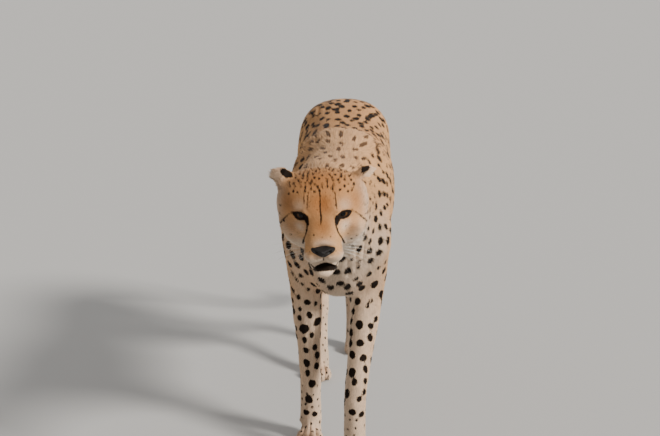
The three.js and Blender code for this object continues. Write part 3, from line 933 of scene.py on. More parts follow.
def rufous_share(co, normals, owner):
    """How red-brown the coat is."""
    local = to_head(co)
    upper_face = 0.22 * smoothstep(face_plane(local)[:, 1], -30, 10)
    red = np.maximum(patches(local, RUFOUS_FACE), upper_face)
    back = 0.22 * smoothstep(normals[:, 2], 0.3, 0.9) * (1 - nape_share(co, normals))
    return back + (red - back) * face_share(local, owner)


def ear_black(co, normals, owner):
    """Millimetres outside the black patch of an ear: on the back of the left one, and in the hollow
    of the right one that faces ahead, where the black is painted shade.
    """
    gap = np.full(len(co), FAR)
    facing = (normals @ HEAD_TURN) * (1, -1, 1)
    for side, (back_by, across_by, wide, high) in EAR_BLACK.items():
        back = unit(np.array(EAR_DARK_SIDE[side], float))
        tip = unit(np.array(EAR_TIP[side], float))
        away = to_head(co) - to_head(np.array([middle("ear_" + side)]))[0]
        across = (away @ np.cross(back, tip) - across_by) / high
        reach = np.hypot(across, (away @ tip + back_by) / wide)
        behind = on_pieces(owner, "ear_" + side, "head") & (facing @ back > 0.05)
        gap = np.where(behind, (reach - 1) * min(wide, high), gap)
    return gap


class Markings:
    """What colours the coat at any place on the skin."""

    def __init__(self, mesh, owner, lie, rng):
        tree = surface_tree(mesh)
        self.spots = lay_spots(mesh, owner, lie, tree, rng)
        self.lines = lay_lines(tree)

    def dark(self, co, normals, owner):
        """Millimetres outside the nearest dark mark, negative inside it; the inside of the parted
        mouth counts as one, as painted shade.
        """
        mark = self.spots.distance(co)
        local = to_head(co)
        head = np.flatnonzero(on_head(local))
        mark[head] = np.minimum.reduce([
            mark[head], line_distance(co[head], self.lines),
            # inside the parted lips the skin takes the dark colour: painted shade of the mouth's
            # inside; the black lips round it are the animal's own
            lid_distance(local[head]) - EYE_RIM, mouth_distance(local[head]) - MOUTH_RIM,
            lip_line_distance(local[head]),
        ])
        mark = np.minimum(mark, ear_black(co, normals, owner))
        tail = tail_distance(co)
        rings = np.minimum.reduce([np.abs(tail - at) - half for at, half in TAIL_RINGS])
        wave = RING_WAVE * np.sin(co[:, 0] / MM * 0.21 + tail * 0.11)
        return np.where(on_pieces(owner, "tail"), np.minimum(mark, rings + wave), mark)

    def strength(self, co, normals):
        """How dark the marks are: faint on the loose fur of the nape."""
        return 1 - NAPE_FAINT * nape_share(co, normals)


# ---------------------------------------------------------------- finishes

COAT_SHARES = ("mark", "strength", "pale", "rufous")  # kept at each vertex of skin and coat


def new_group(name, inputs, outputs):
    group = bpy.data.node_groups.new(name, "ShaderNodeTree")
    for label, kind in inputs:
        group.interface.new_socket(label, in_out="INPUT", socket_type="NodeSocket" + kind)
    for label, kind in outputs:
        group.interface.new_socket(label, in_out="OUTPUT", socket_type="NodeSocket" + kind)
    return group, group.nodes.new("NodeGroupInput"), group.nodes.new("NodeGroupOutput")


class Graph:
    """Places nodes in a node tree and wires them."""

    def __init__(self, tree):
        self.tree = tree
        self.shader = tree.nodes.get("Principled BSDF")

    def node(self, kind, settings=None, **wires):
        made = self.tree.nodes.new("ShaderNode" + kind)
        for label, value in (settings or {}).items():
            setattr(made, label, value)
        for label, value in wires.items():
            self.wire(made.inputs[int(label[1:]) if label[1:].isdigit() else label], value)
        return made

    def wire(self, socket, value):
        """A socket takes another socket's value, or one that is set on it."""
        if isinstance(value, bpy.types.NodeSocket):
            self.tree.links.new(value, socket)
        else:
            socket.default_value = value

    def surface(self, **wires):
        """Wires the sockets of the material's shader; an underscore stands for a space."""
        for label, value in wires.items():
            self.wire(self.shader.inputs[label.replace("_", " ")], value)

    def bump(self, height, strength, distance):
        made = self.node("Bump", Height=height, Strength=strength, Distance=distance)
        self.surface(Normal=made.outputs[0])

    def math(self, operation, first, second=0.0, third=None):
        extra = {} if third is None else {"i2": third}
        return self.node("Math", {"operation": operation}, i0=first, i1=second, **extra).outputs[0]

    def mix(self, share, first, second, blend="MIX"):
        made = self.node("Mix", {"data_type": "RGBA", "blend_type": blend}, i0=share)
        self.wire(made.inputs[6], first)
        self.wire(made.inputs[7], second)
        return made.outputs[2]

    def ramp(self, value, low, high, start=0.0, end=1.0):
        made = self.node("MapRange", {"interpolation_type": "SMOOTHSTEP"}, Value=value)
        for label, number in zip(("From Min", "From Max", "To Min", "To Max"),
                                 (low, high, start, end)):
            made.inputs[label].default_value = number
        return made.outputs[0]

    def noise(self, place, scale, detail=2.0, stretch=None):
        if stretch:
            place = self.node("Mapping", Vector=place, Scale=stretch).outputs[0]
        return self.node("TexNoise", Vector=place, Scale=scale, Detail=detail).outputs["Fac"]

    def attribute(self, name):
        return self.node("Attribute", {"attribute_name": name}).outputs["Fac"]

    def place(self):
        return self.node("TexCoord").outputs["Object"]


TAN = (0.70, 0.385, 0.175, 1)
PALE = (0.85, 0.71, 0.57, 1)
RUFOUS = (0.44, 0.152, 0.034, 1)
DARK = (0.014, 0.008, 0.005, 1)
BROWN = (0.115, 0.055, 0.026, 1)  # a faint mark
IRIS = ((0.045, 0.019, 0.006, 1), (0.12, 0.052, 0.014, 1))  # between its streaks, and on them; both far darker than a real amber iris, as painted shade from the brow
IRIS_RIM = (0.03, 0.012, 0.005, 1)
IRIS_EDGE = (0.012, 0.007, 0.005, 1)
PUPIL = (0.002, 0.002, 0.002, 1)
NOSE_LEATHER = ((0.004, 0.003, 0.003, 1), (0.012, 0.010, 0.0095, 1))  # its creases, darker as painted shade, and its cells
HORN = ((0.035, 0.024, 0.018, 1), (0.14, 0.10, 0.075, 1))
WHISKER = ((0.25, 0.20, 0.15, 1), (0.78, 0.73, 0.65, 1))  # its root, and the rest
FLOOR = (0.47, 0.465, 0.457, 1)


def coat_colour_group():
    """The coat's colour from its shares: how far outside a dark mark, how pale, how red."""
    group, given, result = new_group(
        "coat_colour",
        [("Place", "Vector"), ("Mark", "Float"), ("Strength", "Float"), ("Pale", "Float"),
         ("Rufous", "Float"), ("Tone", "Float"), ("Feather", "Float")],
        [("Color", "Color")])
    g = Graph(group)
    place, mark, strength, pale, rufous, tone, feather = given.outputs[:7]
    patch = g.noise(place, 14, 3)
    fine = g.noise(place, 420, 2)
    base = g.mix(rufous, g.mix(pale, TAN, PALE), RUFOUS)
    edge = g.math("MULTIPLY_ADD", g.math("SUBTRACT", fine, 0.5), 3.0, mark)
    inside = g.math("SUBTRACT", 1.0, g.ramp(g.math("DIVIDE", edge, feather), -1, 1))
    inside = g.math("MULTIPLY", inside, g.math("SQRT", strength))
    dark = g.mix(g.math("POWER", strength, 3.0), BROWN, DARK)
    light = g.math("MULTIPLY_ADD", g.math("SUBTRACT", patch, 0.5), 0.35, tone)
    grey = g.node("CombineColor", Red=light, Green=light, Blue=light).outputs[0]
    colour = g.mix(inside, g.mix(1.0, base, grey, "MULTIPLY"), dark)
    group.links.new(colour, result.inputs["Color"])
    return group


def new_material(name, roughness, specular=0.5):
    material = bpy.data.materials.new(name)
    material.use_nodes = True
    g = Graph(material.node_tree)
    g.surface(Roughness=roughness, Specular_IOR_Level=specular)
    return material, g


def coat_material(name, group, feather, tufted):
    """Fur: on the skin it is a fine grain, on the tufts it lightens from root to tip."""
    material, g = new_material(name, 0.65, 0.1)
    g.surface(Sheen_Weight=0.03, Sheen_Roughness=0.45)
    place = g.place()
    if tufted:
        rise = g.ramp(g.attribute("rise"), 0, 0.8, 0.80, 1.05)
        tone = g.math("MULTIPLY", rise, g.attribute("tone"))
    else:
        tone = g.ramp(g.noise(place, 900, 2), 0.25, 0.75, 0.72, 1.05)
        g.bump(g.noise(place, 700, 3), 0.35, 0.0012)
    shares = {share.title(): g.attribute(share) for share in COAT_SHARES}
    coat = g.node("Group", {"node_tree": group}, Place=place, Tone=tone, Feather=feather, **shares)
    g.surface(Base_Color=coat.outputs["Color"])
    return material


def eye_material():
    """Amber iris, darkened all over as painted shade from the brow, round a black pupil, dark
    towards its rim, under a clear wet surface.
    """
    material, g = new_material("eye_amber", 0.1, 0.16)
    g.surface(Coat_Weight=0.15, Coat_Roughness=0.03)
    angle = g.attribute("angle")
    iris = g.mix(g.ramp(g.noise(g.place(), 1100, 3), 0.3, 0.7), *IRIS)
    iris = g.mix(g.ramp(angle, 26, 40), iris, IRIS_RIM)
    iris = g.mix(g.ramp(angle, 39, 42), iris, IRIS_EDGE)
    g.surface(Base_Color=g.mix(g.ramp(angle, 18.5, 20.5), PUPIL, iris))
    return material


def nose_material():
    material, g = new_material("nose_leather", 0.5, 0.28)
    cells = g.node("TexVoronoi", {"feature": "DISTANCE_TO_EDGE"}, Vector=g.place(), Scale=950)
    grain = g.ramp(cells.outputs["Distance"], 0.0, 0.25)
    # The edges between the cells take the darker leather colour: painted shade in the creases.
    g.surface(Base_Color=g.mix(grain, *NOSE_LEATHER), Roughness=g.ramp(grain, 0, 1, 0.55, 0.36))
    g.bump(grain, 0.4, 0.0004)
    return material


def claw_material():
    material, g = new_material("claw_horn", 0.38)
    streaks = g.noise(g.place(), 260, 3, (4, 1, 4))
    g.surface(Base_Color=g.mix(g.ramp(streaks, 0.3, 0.7), *HORN))
    g.bump(streaks, 0.3, 0.0005)
    return material


def whisker_material():
    material, g = new_material("whisker", 0.45, 0.4)
    g.surface(Base_Color=g.mix(g.ramp(g.attribute("rise"), 0.0, 0.3), *WHISKER))
    return material


# ---------------------------------------------------------------- strands of fur

PATCH = 0.003  # the size of a tuft's place on the skin's unwrap
PATCH_CORNER = (0.9, 0.25)  # how a strand's three corners lie in it, and how its rings follow on
PATCH_RISE, PATCH_START, PATCH_TIP = 0.6, 0.4, 0.3
CORNERS = np.array([(-0.5, 0.0), (0.5, 0.0), (0.0, 1.0)])


def strand_faces(rings):
    """The faces of one strand: its root, its sides ring by ring, and its point."""
    faces = [(0, 1, 2)]
    for ring in range(rings):
        for a, b in ((0, 1), (1, 2), (2, 0)):
            low_a, low_b = 3 * ring + a, 3 * ring + b
            if ring < rings - 1:
                faces += [(low_b, low_a, low_a + 3), (low_b, low_a + 3, low_b + 3)]
            else:
                faces.append((low_b, low_a, 3 * rings))
    return np.array(faces)


def strand_mesh(name, paths, width, thick, over, taper, shade, place_uv=None, values=None):
    """Closed three-sided strands, each from its root to a pointed tip.

    paths holds the points of each strand, over the way that its ridge faces at each point; width
    and thick are the sizes of a strand at its root, taper scales them along it, and shade is the
    way that each strand takes the light. values are numbers kept for each strand, or for each point
    of it.
    """
    count, steps = paths.shape[:2]
    rings = steps - 1
    along = unit(np.diff(paths, axis=1))
    side = unit(np.cross(along, over[:, :rings]))
    ridge = unit(np.cross(side, along))
    points = np.empty((count, 3 * rings + 1, 3))
    rise = np.empty(3 * rings + 1)
    for ring in range(rings):
        for corner, (out, high) in enumerate(CORNERS):
            at = 3 * ring + corner
            points[:, at] = (paths[:, ring] + side[:, ring] * (width * taper[ring] * out)[:, None]
                             + ridge[:, ring] * (thick * taper[ring] * high)[:, None])
            rise[at] = ring / rings
    points[:, -1] = paths[:, -1]
    rise[-1] = 1
    starts = (np.arange(count) * points.shape[1])[:, None, None]
    corners = (strand_faces(rings)[None] + starts).reshape(-1)
    mesh = bpy.data.meshes.new(name)
    mesh.vertices.add(count * points.shape[1])
    mesh.vertices.foreach_set("co", points.astype(np.float32).ravel())
    mesh.loops.add(len(corners))
    mesh.loops.foreach_set("vertex_index", corners.astype(np.int32))
    mesh.polygons.add(len(corners) // 3)
    mesh.polygons.foreach_set("loop_start", np.arange(0, len(corners), 3, dtype=np.int32))
    mesh.update(calc_edges=True)
    store(mesh, "rise", np.tile(rise, count))
    for label, column in (values or {}).items():
        if column.ndim == 1:
            column = np.repeat(column[:, None], steps, 1)
        held = np.concatenate([np.repeat(column[:, :rings], 3, 1), column[:, rings:]], 1)
        store(mesh, label, held.ravel())
    if place_uv is not None:
        layer = mesh.uv_layers.new(name="OFBake")
        within = np.concatenate([np.tile(CORNERS * PATCH_CORNER, (rings, 1)), [(0, PATCH_TIP)]])
        within[:, 1] += rise * PATCH_RISE - PATCH_START
        uv = place_uv[:, None] + within[None] * PATCH
        layer.data.foreach_set("uv", uv.reshape(-1, 2)[corners].astype(np.float32).ravel())
    mesh.shade_smooth()
    mesh.normals_split_custom_set_from_vertices(np.repeat(shade, points.shape[1], axis=0).tolist())
    return mesh


class Roots:
    """Places spread evenly over the faces of the skin, with whatever is known at its corners."""

    def __init__(self, mesh, gap, rng):
        mesh.calc_loop_triangles()
        size = len(mesh.loop_triangles)
        corners = np.empty(size * 3, np.int32)
        mesh.loop_triangles.foreach_get("vertices", corners)
        loops = np.empty(size * 3, np.int32)
        mesh.loop_triangles.foreach_get("loops", loops)
        corners, loops = corners.reshape(-1, 3), loops.reshape(-1, 3)
        a, b, c = (coordinates(mesh)[corners[:, i]] for i in range(3))
        area = 0.5 * np.linalg.norm(np.cross(b - a, c - a), axis=1)
        wanted = area * (1 / gap[corners] ** 2).mean(1)
        total = np.cumsum(wanted)
        count = int(total[-1])
        picked = np.searchsorted(total, (np.arange(count) + rng.random(count)) * total[-1] / count)
        picked = np.minimum(picked, size - 1)
        first, second = np.sqrt(rng.random(count)), rng.random(count)
        self.share = np.stack([1 - first, first * (1 - second), first * second], 1)
        self.corner, self.loop = corners[picked], loops[picked]

    def keep(self, chosen):
        self.share, self.corner = self.share[chosen], self.corner[chosen]
        self.loop = self.loop[chosen]

    def blend(self, values):
        held = values[self.corner]
        share = self.share if values.ndim == 1 else self.share[..., None]
        return (held * share).sum(1)

    def nearest(self, values):
        return values[self.corner[:, 0]]

    def uv(self, values):
        return (values[self.loop] * self.share[..., None]).sum(1)


# ---------------------------------------------------------------- the coat

COAT_PIECES = {
    "coat_head": ["head", "jaw", "ear_left", "ear_right"],
    "coat_neck": ["neck"],
    "coat_chest": ["chest"],
    "coat_belly": ["belly"],
    "coat_rump": ["rump"],
    "coat_tail": ["tail_root", "tail_middle", "tail_tip"],
    "coat_foreleg_left": ["upper_foreleg_left", "forearm_left", "forepaw_left"],
    "coat_foreleg_right": ["upper_foreleg_right", "forearm_right", "forepaw_right"],
    "coat_hindleg_left": ["thigh_left", "shank_left", "hindpaw_left"],
    "coat_hindleg_right": ["thigh_right", "shank_right", "hindpaw_right"],
}
LOCK_PIECES = {
    "locks_front": ["head", "jaw", "ear_left", "ear_right", "neck"],
    "locks_rear": FLESH[FLESH.index("chest"):],
}
NOSE_AT = (0, 80, -29)
NOSE_HALF = (21.5, 11.5, 10)
SEATED = 0.6 * MM  # how deep a strand's root sits in the skin
NOSE_MARGIN, LID_BARE, LIP_BARE = 1.5, 1.2, 0.5  # no strands this near, in millimetres
SOLE_BARE = 1.5 * MM  # nor this near to the floor
MUZZLE_RANGE = (-30, 66)  # from here to here forward, tufts grow closer together and shorter,
MUZZLE_CLOSER, MUZZLE_SHORTER = 0.5, 0.52  # by this many millimetres, and by this share
LOCK_GAP, EAR_LOCK_GAP, LOCK_SHORTEST = 4.2 * MM, 2.6 * MM, 6 * MM
LOCK_LOWEST = 0.02  # no locks lower than this over the floor
COMB = 0.12  # how far single strands turn from the lie of the coat
LOCK_ALONG = np.array([0.0, 0.3, 0.66, 1.0])  # the points of a lock, along it
LOCK_RISE = np.array([0.0, 0.62, 0.95, 1.0])  # and how much of its height each has
LOCK_SWAY = 0.03
WAVE_ROUNDS, PALE_ROUNDS, RUFOUS_ROUNDS = 14, 26, 10  # of averaging over the skin
HEAD_BLEND, BODY_BLEND = 0.25, 0.9  # how much one round blends the pale parts
SWIRL = 0.10  # how far whole areas turn from the lie of the coat
RAGGED = 0.35  # how far single strands stray over the edge of a mark, in millimetres
LIFT_TONE, TONES = 0.025, (0.7, 1.3)  # how light whole areas and single strands are

# How strands grow. long, deep and vary are the spread of their length, of their height as a share
# of the coat's depth, and of their width; steep limits the height and slim gives the width, as
# shares of the length; wide are the least and greatest width; thick is a share of the width; stray
# is how unlike the skin they take the light; tones is the spread of their colour.
TUFT = {
    "long": (0.75, 1.2), "deep": (0.5, 1.0), "steep": 0.33, "swirl": 1, "slim": 0.15,
    "wide": (0.8 * MM, 1.7 * MM), "vary": (0.8, 1.2), "thick": 0.45, "taper": [1.0],
    "stray": 0.09, "tones": 0.05,
}
LOCK = {
    "long": (0.7, 1.15), "deep": (0.9, 1.35), "steep": 0.55, "swirl": 1.4, "slim": 0.065,
    "wide": (0.9 * MM, 1.8 * MM), "vary": (0.75, 1.2), "thick": 0.4, "taper": [1.0, 0.85, 0.55],
    "stray": 0.13, "tones": 0.07,
}


def bare_places(co):
    """Where no tuft grows: the rims of the eyes, between the lips and under the nose pad."""
    local = to_head(co)
    nose = np.linalg.norm((local - NOSE_AT) / (np.array(NOSE_HALF) + NOSE_MARGIN), axis=1) < 1
    openings = (lid_distance(local) < LID_BARE) | (mouth_distance(local) < LIP_BARE)
    return on_head(local) & (openings | nose)


def tuft_sizes(co, owner):
    """The gap between tufts and their length, in metres: both are smallest on the muzzle."""
    muzzle = smoothstep(to_head(co)[:, 1], *MUZZLE_RANGE) * on_pieces(owner, "head", "jaw")
    gap = coat_column(owner, GAP) - MUZZLE_CLOSER * muzzle
    return gap * MM, (coat_column(owner, LENGTH) * (1 - MUZZLE_SHORTER * muzzle)) * MM


def lock_sizes(co, normals, owner):
    """The length in metres of the longer locks, 0 where there are none."""
    local = to_head(co)
    head = on_pieces(owner, "head", "jaw")
    under = smoothstep(-normals[:, 2], 0.3, 0.8)
    ahead = smoothstep(-normals[:, 1], 0.3, 0.8)
    rear = smoothstep(normals[:, 1], 0.35, 0.8)
    length = np.maximum.reduce([
        28 * nape_share(co, normals),
        under * 22 * on_pieces(owner, "belly"),
        under * 15 * on_pieces(owner, "neck"),
        ahead * 15 * on_pieces(owner, "chest"),
        24 * head * bump(both_sides(local), (80, -56, -14), (26, 48, 60)),  # ruff
        17 * head * bump(local, (0, -62, 56), (64, 30, 26)),  # back of the crown
        8 * on_pieces(owner, "jaw") * smoothstep(-local[:, 2], 74, 88),
        8.5 * on_pieces(owner, "ear"),
        17 * rear * on_pieces(owner, "thigh", "upper_foreleg"),
        32 * on_pieces(owner, "tail_tip") * (1 - smoothstep(tail_distance(co), 20, 90)),
    ])
    return length * MM * (co[:, 2] > LOCK_LOWEST)


def combed(lie, normals, swirl, rng):
    """The lie of each strand, turned a little in the surface."""
    turn = swirl + rng.normal(0, COMB, len(lie))
    aside = np.cross(normals, lie)
    return unit(lie * np.cos(turn)[:, None] + aside * np.sin(turn)[:, None])


def ground(mesh, owner, depth, lie, spread, rng):
    """Everything that the strands need to know at each corner of the skin."""
    co = coordinates(mesh)
    normals = vertex_normals(mesh)
    waves = spread.smooth(rng.normal(0, 1, (len(co), 2)), WAVE_ROUNDS, 0.8)
    waves /= waves.std(0)
    blended = np.where(on_head(to_head(co)), HEAD_BLEND, BODY_BLEND)
    return {
        "co": co, "normals": normals, "lie": lie, "owner": owner, "depth": depth,
        "pale": spread.smooth(pale_share(co, normals, owner), PALE_ROUNDS, blended),
        "rufous": spread.smooth(rufous_share(co, normals, owner), RUFOUS_ROUNDS),
        "swirl": np.clip(waves[:, 0], -2, 2) * SWIRL, "lift": waves[:, 1],
    }


def facing_light(roots, skin, normals, lie, stray):
    """The way that each strand takes the light: like the skin under it, but on the thin ears more
    like the strand's own run and the sky."""
    on_ear = normals * 0.4 + lie * 0.5 + np.array((0, -0.3, 0.6))
    ears = on_pieces(roots.nearest(skin["owner"]), "ear")[:, None]
    return unit(np.where(ears, on_ear, normals + lie * 0.1) + stray)


def coat_values(roots, skin, paths, markings, tones, rng):
    """What colours each strand; its dark marks are those of the place where each point of it is."""
    normals = unit(roots.blend(skin["normals"]))
    owner = roots.nearest(skin["owner"])
    tone = 1 + rng.normal(0, tones, len(paths)) + LIFT_TONE * roots.blend(skin["lift"])
    ragged = rng.normal(0, RAGGED, len(paths))
    marks = [markings.dark(place, normals, owner) + ragged for place in np.swapaxes(paths, 0, 1)]
    return {
        "mark": np.stack(marks, 1),
        "strength": markings.strength(paths[:, 0], normals),
        "pale": roots.blend(skin["pale"]),
        "rufous": roots.blend(skin["rufous"]),
        "tone": np.clip(tone, *TONES),
    }


def straight(at, normals, lie, long, high, rng):
    """The root and tip of each tuft, and the same two places on the skin."""
    run = lie * np.sqrt(long ** 2 - high ** 2)[:, None]
    tip = at + run + normals * high[:, None]
    return np.stack([at - normals * SEATED, tip], 1), np.stack([at, at + run], 1)


def bent(at, normals, lie, long, high, rng):
    """The points of each lock, which rises, bends over and sways, and the same on the skin."""
    sway = np.cross(normals, lie) * (rng.normal(0, LOCK_SWAY, len(at)) * long)[:, None]
    rise = LOCK_RISE * high[:, None] - (LOCK_ALONG == 0) * SEATED
    paths = (at[:, None] + lie[:, None] * (LOCK_ALONG * (long * 0.92)[:, None])[..., None]
             + normals[:, None] * rise[..., None]
             + sway[:, None] * (LOCK_ALONG ** 2)[None, :, None])
    return paths, at[:, None] + lie[:, None] * (LOCK_ALONG * (long * 0.8)[:, None])[..., None]


def grow(name, kind, shape, roots, length, skin, markings, unwrap, rng):
    """A piece of the coat: strands of one kind that stand at their roots."""
    at = roots.blend(skin["co"])
    normals = unit(roots.blend(skin["normals"]))
    long = roots.blend(length) * rng.uniform(*kind["long"], len(at))
    lie = flatten(roots.blend(skin["lie"]), normals)
    lie = combed(lie, normals, roots.blend(skin["swirl"]) * kind["swirl"], rng)
    high = roots.blend(skin["depth"]) * rng.uniform(*kind["deep"], len(at))
    high = np.minimum(high, long * kind["steep"])
    paths, laid = shape(at, normals, lie, long, high, rng)
    width = np.clip(long * kind["slim"], *kind["wide"]) * rng.uniform(*kind["vary"], len(at))
    stray = rng.normal(0, kind["stray"], normals.shape)
    shade = facing_light(roots, skin, normals, lie, stray)
    values = coat_values(roots, skin, laid, markings, kind["tones"], rng)
    over = np.repeat(normals[:, None], paths.shape[1], 1)
    return strand_mesh(name, paths, width, width * kind["thick"] + SEATED, over, kind["taper"],
                       shade, roots.uv(unwrap), values)


def make_tufts(name, nodes, mesh, skin, markings, unwrap, rng):
    """Short straight tufts over some pieces of the body."""
    gap, length = tuft_sizes(skin["co"], skin["owner"])
    covers = on_pieces(skin["owner"], *nodes)
    roots = Roots(mesh, np.where(covers & ~bare_places(skin["co"]), gap, FAR_OFF), rng)
    at = roots.blend(skin["co"])
    roots.keep(covers[roots.corner].all(1) & ~bare_places(at) & (at[:, 2] > SOLE_BARE))
    return grow(name, TUFT, straight, roots, length, skin, markings, unwrap, rng)


def make_locks(name, nodes, mesh, skin, markings, unwrap, rng):
    """Longer locks that bend over: mane, ruff, chest, belly, ears, backs of the legs, tail tip."""
    length = lock_sizes(skin["co"], skin["normals"], skin["owner"])
    length = length * on_pieces(skin["owner"], *nodes)
    gap = np.where(on_pieces(skin["owner"], "ear"), EAR_LOCK_GAP, LOCK_GAP)
    here = (length > LOCK_SHORTEST) & ~bare_places(skin["co"])
    roots = Roots(mesh, np.where(here, gap, FAR_OFF), rng)
    roots.keep(roots.blend(length) > LOCK_SHORTEST)
    return grow(name, LOCK, bent, roots, length, skin, markings, unwrap, rng)


# ---------------------------------------------------------------- eyes, nose, claws and whiskers

CORNEA = (0.085, 41)  # how far the clear front bulges, and out to what angle from the gaze
PAWS_OF = ("front_left", "front_right", "hind_left", "hind_right")
CLAWS = range(1, 5)
CLAW_LENGTH = 0.021
CLAW_HALF = 0.0042
CLAW_BURIED = 0.0135
CLAW_SLIM = 0.72  # its width as a share of its height
CLAW_POINT = 0.14  # its width at the point as a share of that at the root
CLAW_REACH = 0.92  # its length, bent, as a share of its own
CLAW_DROP = (0.0085, 1.6)  # how far its point hangs, and how late it bends
WHISKER_LENGTH = (30, 9)  # of the first in a row, and how much longer each next one is
WHISKER_WIDTH = 0.26 * MM
WHISKER_STEPS = 8
WHISKER_SAG = 0.28


def head_vector(side, ahead, up):
    return Vector(HEAD_TURN @ unit(np.array((side, -ahead, up), float)))


def smooth_piece(mesh):
    mesh.shade_smooth()
    return link(mesh, mesh.name)


def make_eye(name, side):
    """An eyeball with a clear bulge in front; the angle from its gaze is kept at each point."""
    bm = bmesh.new()
    bmesh.ops.create_uvsphere(bm, u_segments=40, v_segments=36, radius=EYE_RADIUS * MM)
    gaze = head_vector(GAZE[0] * side, GAZE[1], GAZE[2])
    swell, reach = CORNEA
    angles = []
    for vert in bm.verts:
        angles.append(math.degrees(vert.co.angle(Vector((0, 0, 1)), 0)))
        vert.co *= 1 + swell * max(0, 1 - (angles[-1] / reach) ** 2)
    place = Vector(from_head((EYE_AT[0] * side, *EYE_AT[1:])))
    turn = Vector((0, 0, 1)).rotation_difference(gaze).to_matrix().to_4x4()
    bmesh.ops.transform(bm, matrix=Matrix.Translation(place) @ turn, verts=bm.verts)
    mesh = mesh_of(bm, name)
    store(mesh, "angle", angles)
    return smooth_piece(mesh)


# Moves of the nose's surface: place, reach and shift in millimetres, from the middle of the pad.
NOSE_MOVES = [
    ((10.5, 9, 1.5), (4.4, 8, 3.0), (0.5, -7, 0)),  # nostril
    ((16.5, 5, 4), (4.4, 7, 1.8), (0, -4, 0.5)),  # its slit, out and up
    ((20, 1, 6), (5, 8, 3.4), (3, 0, 2.6)),  # wing of the nostril
    ((0, 11, -6), (1.3, 9, 7), (0, -2.0, 0)),  # groove down the middle
    ((0, 11, 1), (5, 9, 4), (0, 1.0, 0)),  # middle of the pad
    ((0, 4, 10), (10, 8, 3.6), (0, 0, -2.4)),  # low upper edge
]
NOSE_TAPER, NOSE_TAPER_TOP = 0.80, 2.5  # how much narrower it is at the bottom, and from where


def make_nose():
    bm = bmesh.new()
    bmesh.ops.create_icosphere(bm, subdivisions=5, radius=1)
    local = np.array([vert.co for vert in bm.verts]) * (1, -1, 1) * NOSE_HALF
    drop = np.clip((NOSE_TAPER_TOP - local[:, 2]) / (NOSE_HALF[2] + NOSE_TAPER_TOP), 0, 1)
    local[:, 0] *= 1 - NOSE_TAPER * drop ** 1.15
    for vert, place in zip(bm.verts, from_head(local + surface_moves(local, NOSE_MOVES) + NOSE_AT)):
        vert.co = place
    return smooth_piece(mesh_of(bm, "nose_pad"))


def make_claws(paw):
    """The four claws of a paw: horn, curved down to a blunt point."""
    bm = bmesh.new()
    drop, late = CLAW_DROP
    for toe in CLAWS:
        low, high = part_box(f"claw_{paw}_{toe}")
        root = Vector(((low.x + high.x) / 2, high.y + CLAW_BURIED, high.z + 0.001))
        before = len(bm.verts)
        made = bmesh.ops.create_cone(bm, cap_ends=True, segments=12, radius1=CLAW_HALF,
                                     radius2=CLAW_HALF * CLAW_POINT, depth=CLAW_LENGTH)["verts"]
        length = {edge for vert in made for edge in vert.link_edges
                  if abs(edge.verts[0].co.z - edge.verts[1].co.z) > CLAW_LENGTH / 2}
        bmesh.ops.subdivide_edges(bm, edges=list(length), cuts=6)
        bm.verts.ensure_lookup_table()
        for vert in bm.verts[before:]:
            run = vert.co.z / CLAW_LENGTH + 0.5
            rise = vert.co.y - drop * run ** late
            ahead = -run * CLAW_LENGTH * CLAW_REACH
            vert.co = root + Vector((vert.co.x * CLAW_SLIM, ahead, rise))
    bmesh.ops.recalc_face_normals(bm, faces=bm.faces)
    return smooth_piece(mesh_of(bm, "claws_" + paw))


def make_whiskers(skin, rng):
    """Thin white whiskers in rows on the pads of the upper lip."""
    tree = surface_tree(skin)
    hairs = [(root, (side * (1.0 + 0.1 * place), 0.55 - 0.28 * place, 0.10 - 0.16 * row),
              WHISKER_LENGTH[0] + WHISKER_LENGTH[1] * place + rng.uniform(-6, 8))
             for side, row, place, root in whisker_roots()]
    sag = np.array(Vector((0, 0.25, -1)).normalized())
    t = np.linspace(0, 1, WHISKER_STEPS)[:, None]
    paths, over = [], []
    for start, way, long in hairs:
        root, normal = (np.array(v) for v in tree.find_nearest(Vector(from_head(start)))[:2])
        out = np.array(head_vector(*(np.array(way) + rng.normal(0, 0.05, 3))))
        path = root - normal * MM + out * t * long * MM
        paths.append(path + sag * t ** 2 * long * MM * WHISKER_SAG)
        over.append(np.repeat(normal[None], WHISKER_STEPS, 0))
    paths, over = np.array(paths), np.array(over)
    wide = np.full(len(paths), WHISKER_WIDTH)
    taper = np.linspace(1, 0.45, WHISKER_STEPS - 1)
    return strand_mesh("whiskers", paths, wide, wide, over, taper, over[:, 0])


# ---------------------------------------------------------------- camera, floor and light

# Name, place, angle in degrees, strength and tint of each lamp.
LAMPS = [
    ("key", (3.2, -2.2, 2.9), 12, 4.8, (1, 0.955, 0.89)),
    ("rim", (0.6, 3.4, 2.4), 40, 0.35, (1, 1, 1)),
]
LIT_PLACE = Vector((0, 0, 0.45))
SKY_TINT, SKY_STRENGTH = (1, 0.985, 0.965, 1), 0.53
FLOOR_REACH = 30


def add_camera():
    lens = bpy.data.cameras.new("view")
    lens.sensor_width = 36
    lens.lens = lens.sensor_width * FOCAL_PIXELS / VIEW_SIZE[0]
    camera = bpy.data.objects.new("view", lens)
    camera.location = camera_place()
    camera.rotation_euler = (math.pi / 2 - CAMERA_TILT, 0, 0)
    bpy.context.scene.collection.objects.link(camera)
    bpy.context.scene.camera = camera


def add_lamp(name, place, angle, strength, tint):
    """A soft sun that shines from its place towards the animal."""
    lamp = bpy.data.lights.new(name, "SUN")
    lamp.angle = math.radians(angle)
    lamp.energy = strength
    lamp.color = tint
    holder = bpy.data.objects.new(name, lamp)
    holder.location = place
    holder.rotation_euler = (LIT_PLACE - Vector(place)).to_track_quat("-Z", "Y").to_euler()
    bpy.context.scene.collection.objects.link(holder)


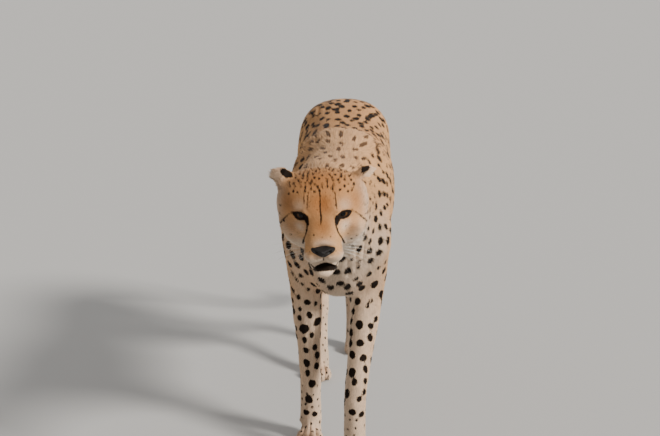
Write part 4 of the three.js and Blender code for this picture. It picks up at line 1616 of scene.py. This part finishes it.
def add_floor():
    bm = bmesh.new()
    bmesh.ops.create_grid(bm, x_segments=1, y_segments=1, size=FLOOR_REACH)
    floor = link(mesh_of(bm, "floor"), "floor")
    paper, g = new_material("floor_paper", 0.95)
    g.surface(Base_Color=FLOOR)
    floor.data.materials.append(paper)


def add_sky():
    world = bpy.data.worlds.new("soft_sky")
    world.use_nodes = True
    sky = world.node_tree.nodes["Background"]
    sky.inputs["Color"].default_value = SKY_TINT
    sky.inputs["Strength"].default_value = SKY_STRENGTH
    bpy.context.scene.world = world


# ---------------------------------------------------------------- the whole animal

def finish_piece(piece, material, slot, *nodes):
    """Gives a piece its material, in the place of some of the solids; its slot is not used."""
    piece.data.materials.append(material)
    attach(piece, "root")
    if nodes:
        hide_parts(*nodes)


def unwrap_skin(skin):
    """Lays the skin out flat, and gives the place of each corner of its faces."""
    bpy.context.view_layer.objects.active = skin
    skin.select_set(True)
    bpy.ops.object.mode_set(mode="EDIT")
    bpy.ops.mesh.select_all(action="SELECT")
    bpy.ops.uv.smart_project(angle_limit=math.radians(66), island_margin=0.002)
    bpy.ops.object.mode_set(mode="OBJECT")
    skin.select_set(False)
    layer = skin.data.uv_layers[0]
    layer.name = "OFBake"
    places = np.empty(len(layer.data) * 2, np.float32)
    layer.data.foreach_get("uv", places)
    return places.reshape(-1, 2).astype(float)


def build():
    rng = np.random.default_rng(7)
    mesh, owner, depth = shape_skin()
    skin = link(mesh, "skin")
    spread = Spread(mesh)
    lie = lie_of_coat(mesh, owner, spread)
    mesh.shade_smooth()
    known = ground(mesh, owner, depth, lie, spread, rng)
    markings = Markings(mesh, owner, lie, rng)
    store(mesh, "mark", markings.dark(known["co"], known["normals"], owner))
    store(mesh, "strength", markings.strength(known["co"], known["normals"]))
    store(mesh, "pale", known["pale"])
    store(mesh, "rufous", known["rufous"])
    unwrap = unwrap_skin(skin)
    group = coat_colour_group()
    finish_piece(skin, coat_material("coat_skin", group, 1.2, False), "coat", *FLESH)
    fur = coat_material("coat_fur", group, 0.6, True)
    for make, pieces in ((make_tufts, COAT_PIECES), (make_locks, LOCK_PIECES)):
        for name, nodes in pieces.items():
            strands = make(name, nodes, mesh, known, markings, unwrap, rng)
            finish_piece(link(strands, name), fur, "coat")
    glass = eye_material()
    finish_piece(make_eye("eyeball_left", 1), glass, "eye", "eye_left")
    finish_piece(make_eye("eyeball_right", -1), glass, "eye", "eye_right")
    finish_piece(make_nose(), nose_material(), "nose", "nose")
    horn = claw_material()
    for paw in PAWS_OF:
        finish_piece(make_claws(paw), horn, "claw", *(f"claw_{paw}_{toe}" for toe in CLAWS))
    finish_piece(link(make_whiskers(mesh, rng), "whiskers"), whisker_material(), "coat")


build()
add_camera()
add_floor()
add_sky()
for lamp_row in LAMPS:
    add_lamp(*lamp_row)
